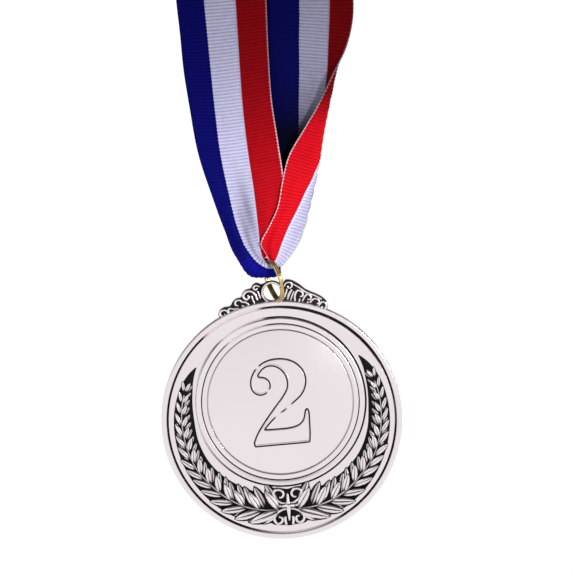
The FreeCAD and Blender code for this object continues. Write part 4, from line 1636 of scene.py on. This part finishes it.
# ---------------------------------------------------------------------------------------------
# Studio
# ---------------------------------------------------------------------------------------------
@dataclass
class Studio:
    """Plain pale floor, soft light and a long-lens camera."""

    aim: Point3 = (4.03, -4.2, -85.85)
    distance: float = 1500.0
    elevation: float = 7.0
    roll: float = 4.4
    lens: float = 350.0
    floor_z: float = -300.0
    floor_size: float = 60.0

    def build(self) -> None:
        """Adds everything that isn't part of the object."""
        self.camera()
        self.floor()
        self.world()
        self.lights()
        bpy.context.scene.view_settings.view_transform = "Standard"

    def camera(self) -> None:
        """A level-looking camera, turned a little about its own line of sight."""
        data = bpy.data.cameras.new("camera")
        data.lens, data.sensor_width, data.clip_end = self.lens, 36.0, 200.0
        obj = link_object("camera", data)
        rise = math.radians(self.elevation)
        offset = Vector((0, -math.cos(rise), math.sin(rise))) * self.distance
        turn = Matrix.Rotation(math.radians(90 - self.elevation), 4, "X")
        roll = Matrix.Rotation(math.radians(-self.roll), 4, "Z")
        obj.matrix_world = Matrix.Translation((Vector(self.aim) + offset) * MM) @ turn @ roll
        bpy.context.scene.camera = obj

    def floor(self) -> None:
        """A very large matt white floor well below the object."""
        mesh = bpy.data.meshes.new("floor")
        s, z = self.floor_size, self.floor_z * MM
        mesh.from_pydata([(-s, -s, z), (s, -s, z), (s, s, z), (-s, s, z)], [], [(0, 1, 2, 3)])
        material, nodes, shader = new_material("floor_white")
        for label, value in (("Base Color", (0.2, 0.2, 0.2)), ("Emission Color", (1.0, 1.0, 1.0)),
                             ("Emission Strength", 0.97), ("Roughness", 1.0), ("Specular IOR Level", 0.0)):
            nodes.put(shader.inputs[label], value)
        mesh.materials.append(material)
        add_object("floor", mesh, smooth=False)

    def world(self) -> None:
        """A surround that is white at eye level and grey above and below, which the metal picks up."""
        world = bpy.data.worlds.new("studio")
        world.use_nodes = True
        bpy.context.scene.world = world
        nodes = Nodes(world.node_tree)
        background = world.node_tree.nodes["Background"]
        place = nodes.add("ShaderNodeTexCoord")
        split = nodes.add("ShaderNodeSeparateXYZ", {0: place.outputs["Generated"]})
        band = nodes.add("ShaderNodeMapRange", {
            "Value": nodes.math("ABSOLUTE", split.outputs[2]), "From Min": 0.22, "From Max": 0.5, "To Min": 1.0,
            "To Max": 0.12}, interpolation_type="SMOOTHSTEP")
        nodes.put(background.inputs["Strength"], band.outputs["Result"])
        nodes.put(background.inputs["Color"], (1.0, 1.0, 1.0))

    def lights(self) -> None:
        """A large key light at the upper left front, a weak fill at the right, and a spot on the ribbon."""
        middle = (0, 0, -90)
        specs = (("key", "AREA", 2.4, (-650, -700, 650), middle, {"shape": "DISK", "size": 0.8}),
                 ("fill", "AREA", 0.8, (900, -700, 100), middle, {"shape": "DISK", "size": 0.5}),
                 ("ribbon_spot", "SPOT", 28.0, (350, -500, 20), (8, -6, -66),
                  {"spot_size": math.radians(8.4), "spot_blend": 1.0, "shadow_soft_size": 0.03}))
        for name, kind, power, place, target, settings in specs:
            data = bpy.data.lights.new(name, kind)
            data.energy = power
            for key, value in settings.items():
                setattr(data, key, value)
            obj = link_object(name, data)
            obj.location = Vector(place) * MM
            obj.rotation_euler = ((Vector(target) - Vector(place)) * MM).to_track_quat("-Z", "Y").to_euler()


@dataclass
class AwardMedal:
    """The whole object, built piece by piece onto the CAD bodies."""

    materials: dict[Finish, bpy.types.Material] = field(default_factory=build_materials)

    def build(self) -> None:
        """Builds every piece and stands it in for its CAD node."""
        self.build_medal()
        self.build_ring()
        self.build_ribbon()

    def build_medal(self) -> None:
        """The casting with its wreath and crown, and the numeral disc."""
        antique, bright = self.materials[Finish.ANTIQUE], self.materials[Finish.FIELD]
        plate = MedalPlate()
        wreath = Wreath(plate)
        disc, ring = plate.build_disc(), plate.build_seat_ring()
        for obj in (disc, ring, wreath.build(antique), wreath.build_knot(), *Crown(plate).build()):
            dress(obj, antique, "medal")
        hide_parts("medal_casting")
        numeral = NumeralDisc(plate)
        face = numeral.build_disc()
        lines = (numeral.build_line("figure_two_line", 0.0, 0.235, 0.05, True),
                 numeral.build_line("figure_two_edge", 0.40, 0.17, 0.11, False))
        dress(face, bright, "medal")
        for obj in lines:
            dress(obj, antique, "medal")
        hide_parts("numeral_disc")

    def build_ring(self) -> None:
        """The split ring."""
        ring = SplitRing().build()
        dress(ring, self.materials[Finish.BRASS], "ring")
        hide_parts("split_ring")

    def build_ribbon(self) -> None:
        """The ribbon, its folded rest, the band and the seam."""
        ribbon, band = NeckRibbon(), HankBand()
        cloth = self.materials[Finish.RIBBON]
        v = ribbon.build_v()
        v.data.materials.append(cloth)
        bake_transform(v)
        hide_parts("ribbon_left_strand", "ribbon_right_strand", "ribbon_bight")
        hank = ribbon.build_hank()
        dress(hank, cloth, "ribbon")
        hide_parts("ribbon_hank")
        strap = band.build_band()
        dress(strap, self.materials[Finish.BAND], "ribbon")
        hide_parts("hank_band")
        seam = band.build_seam(self.materials[Finish.THREAD])
        dress(seam, self.materials[Finish.THREAD], "ribbon")
        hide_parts("seam_stitches")


def main() -> None:
    """Builds the medal and its studio."""
    logging.basicConfig(level=logging.INFO, format="%(name)s: %(message)s")
    AwardMedal().build()
    Studio().build()


if __name__ == "__main__":
    main()
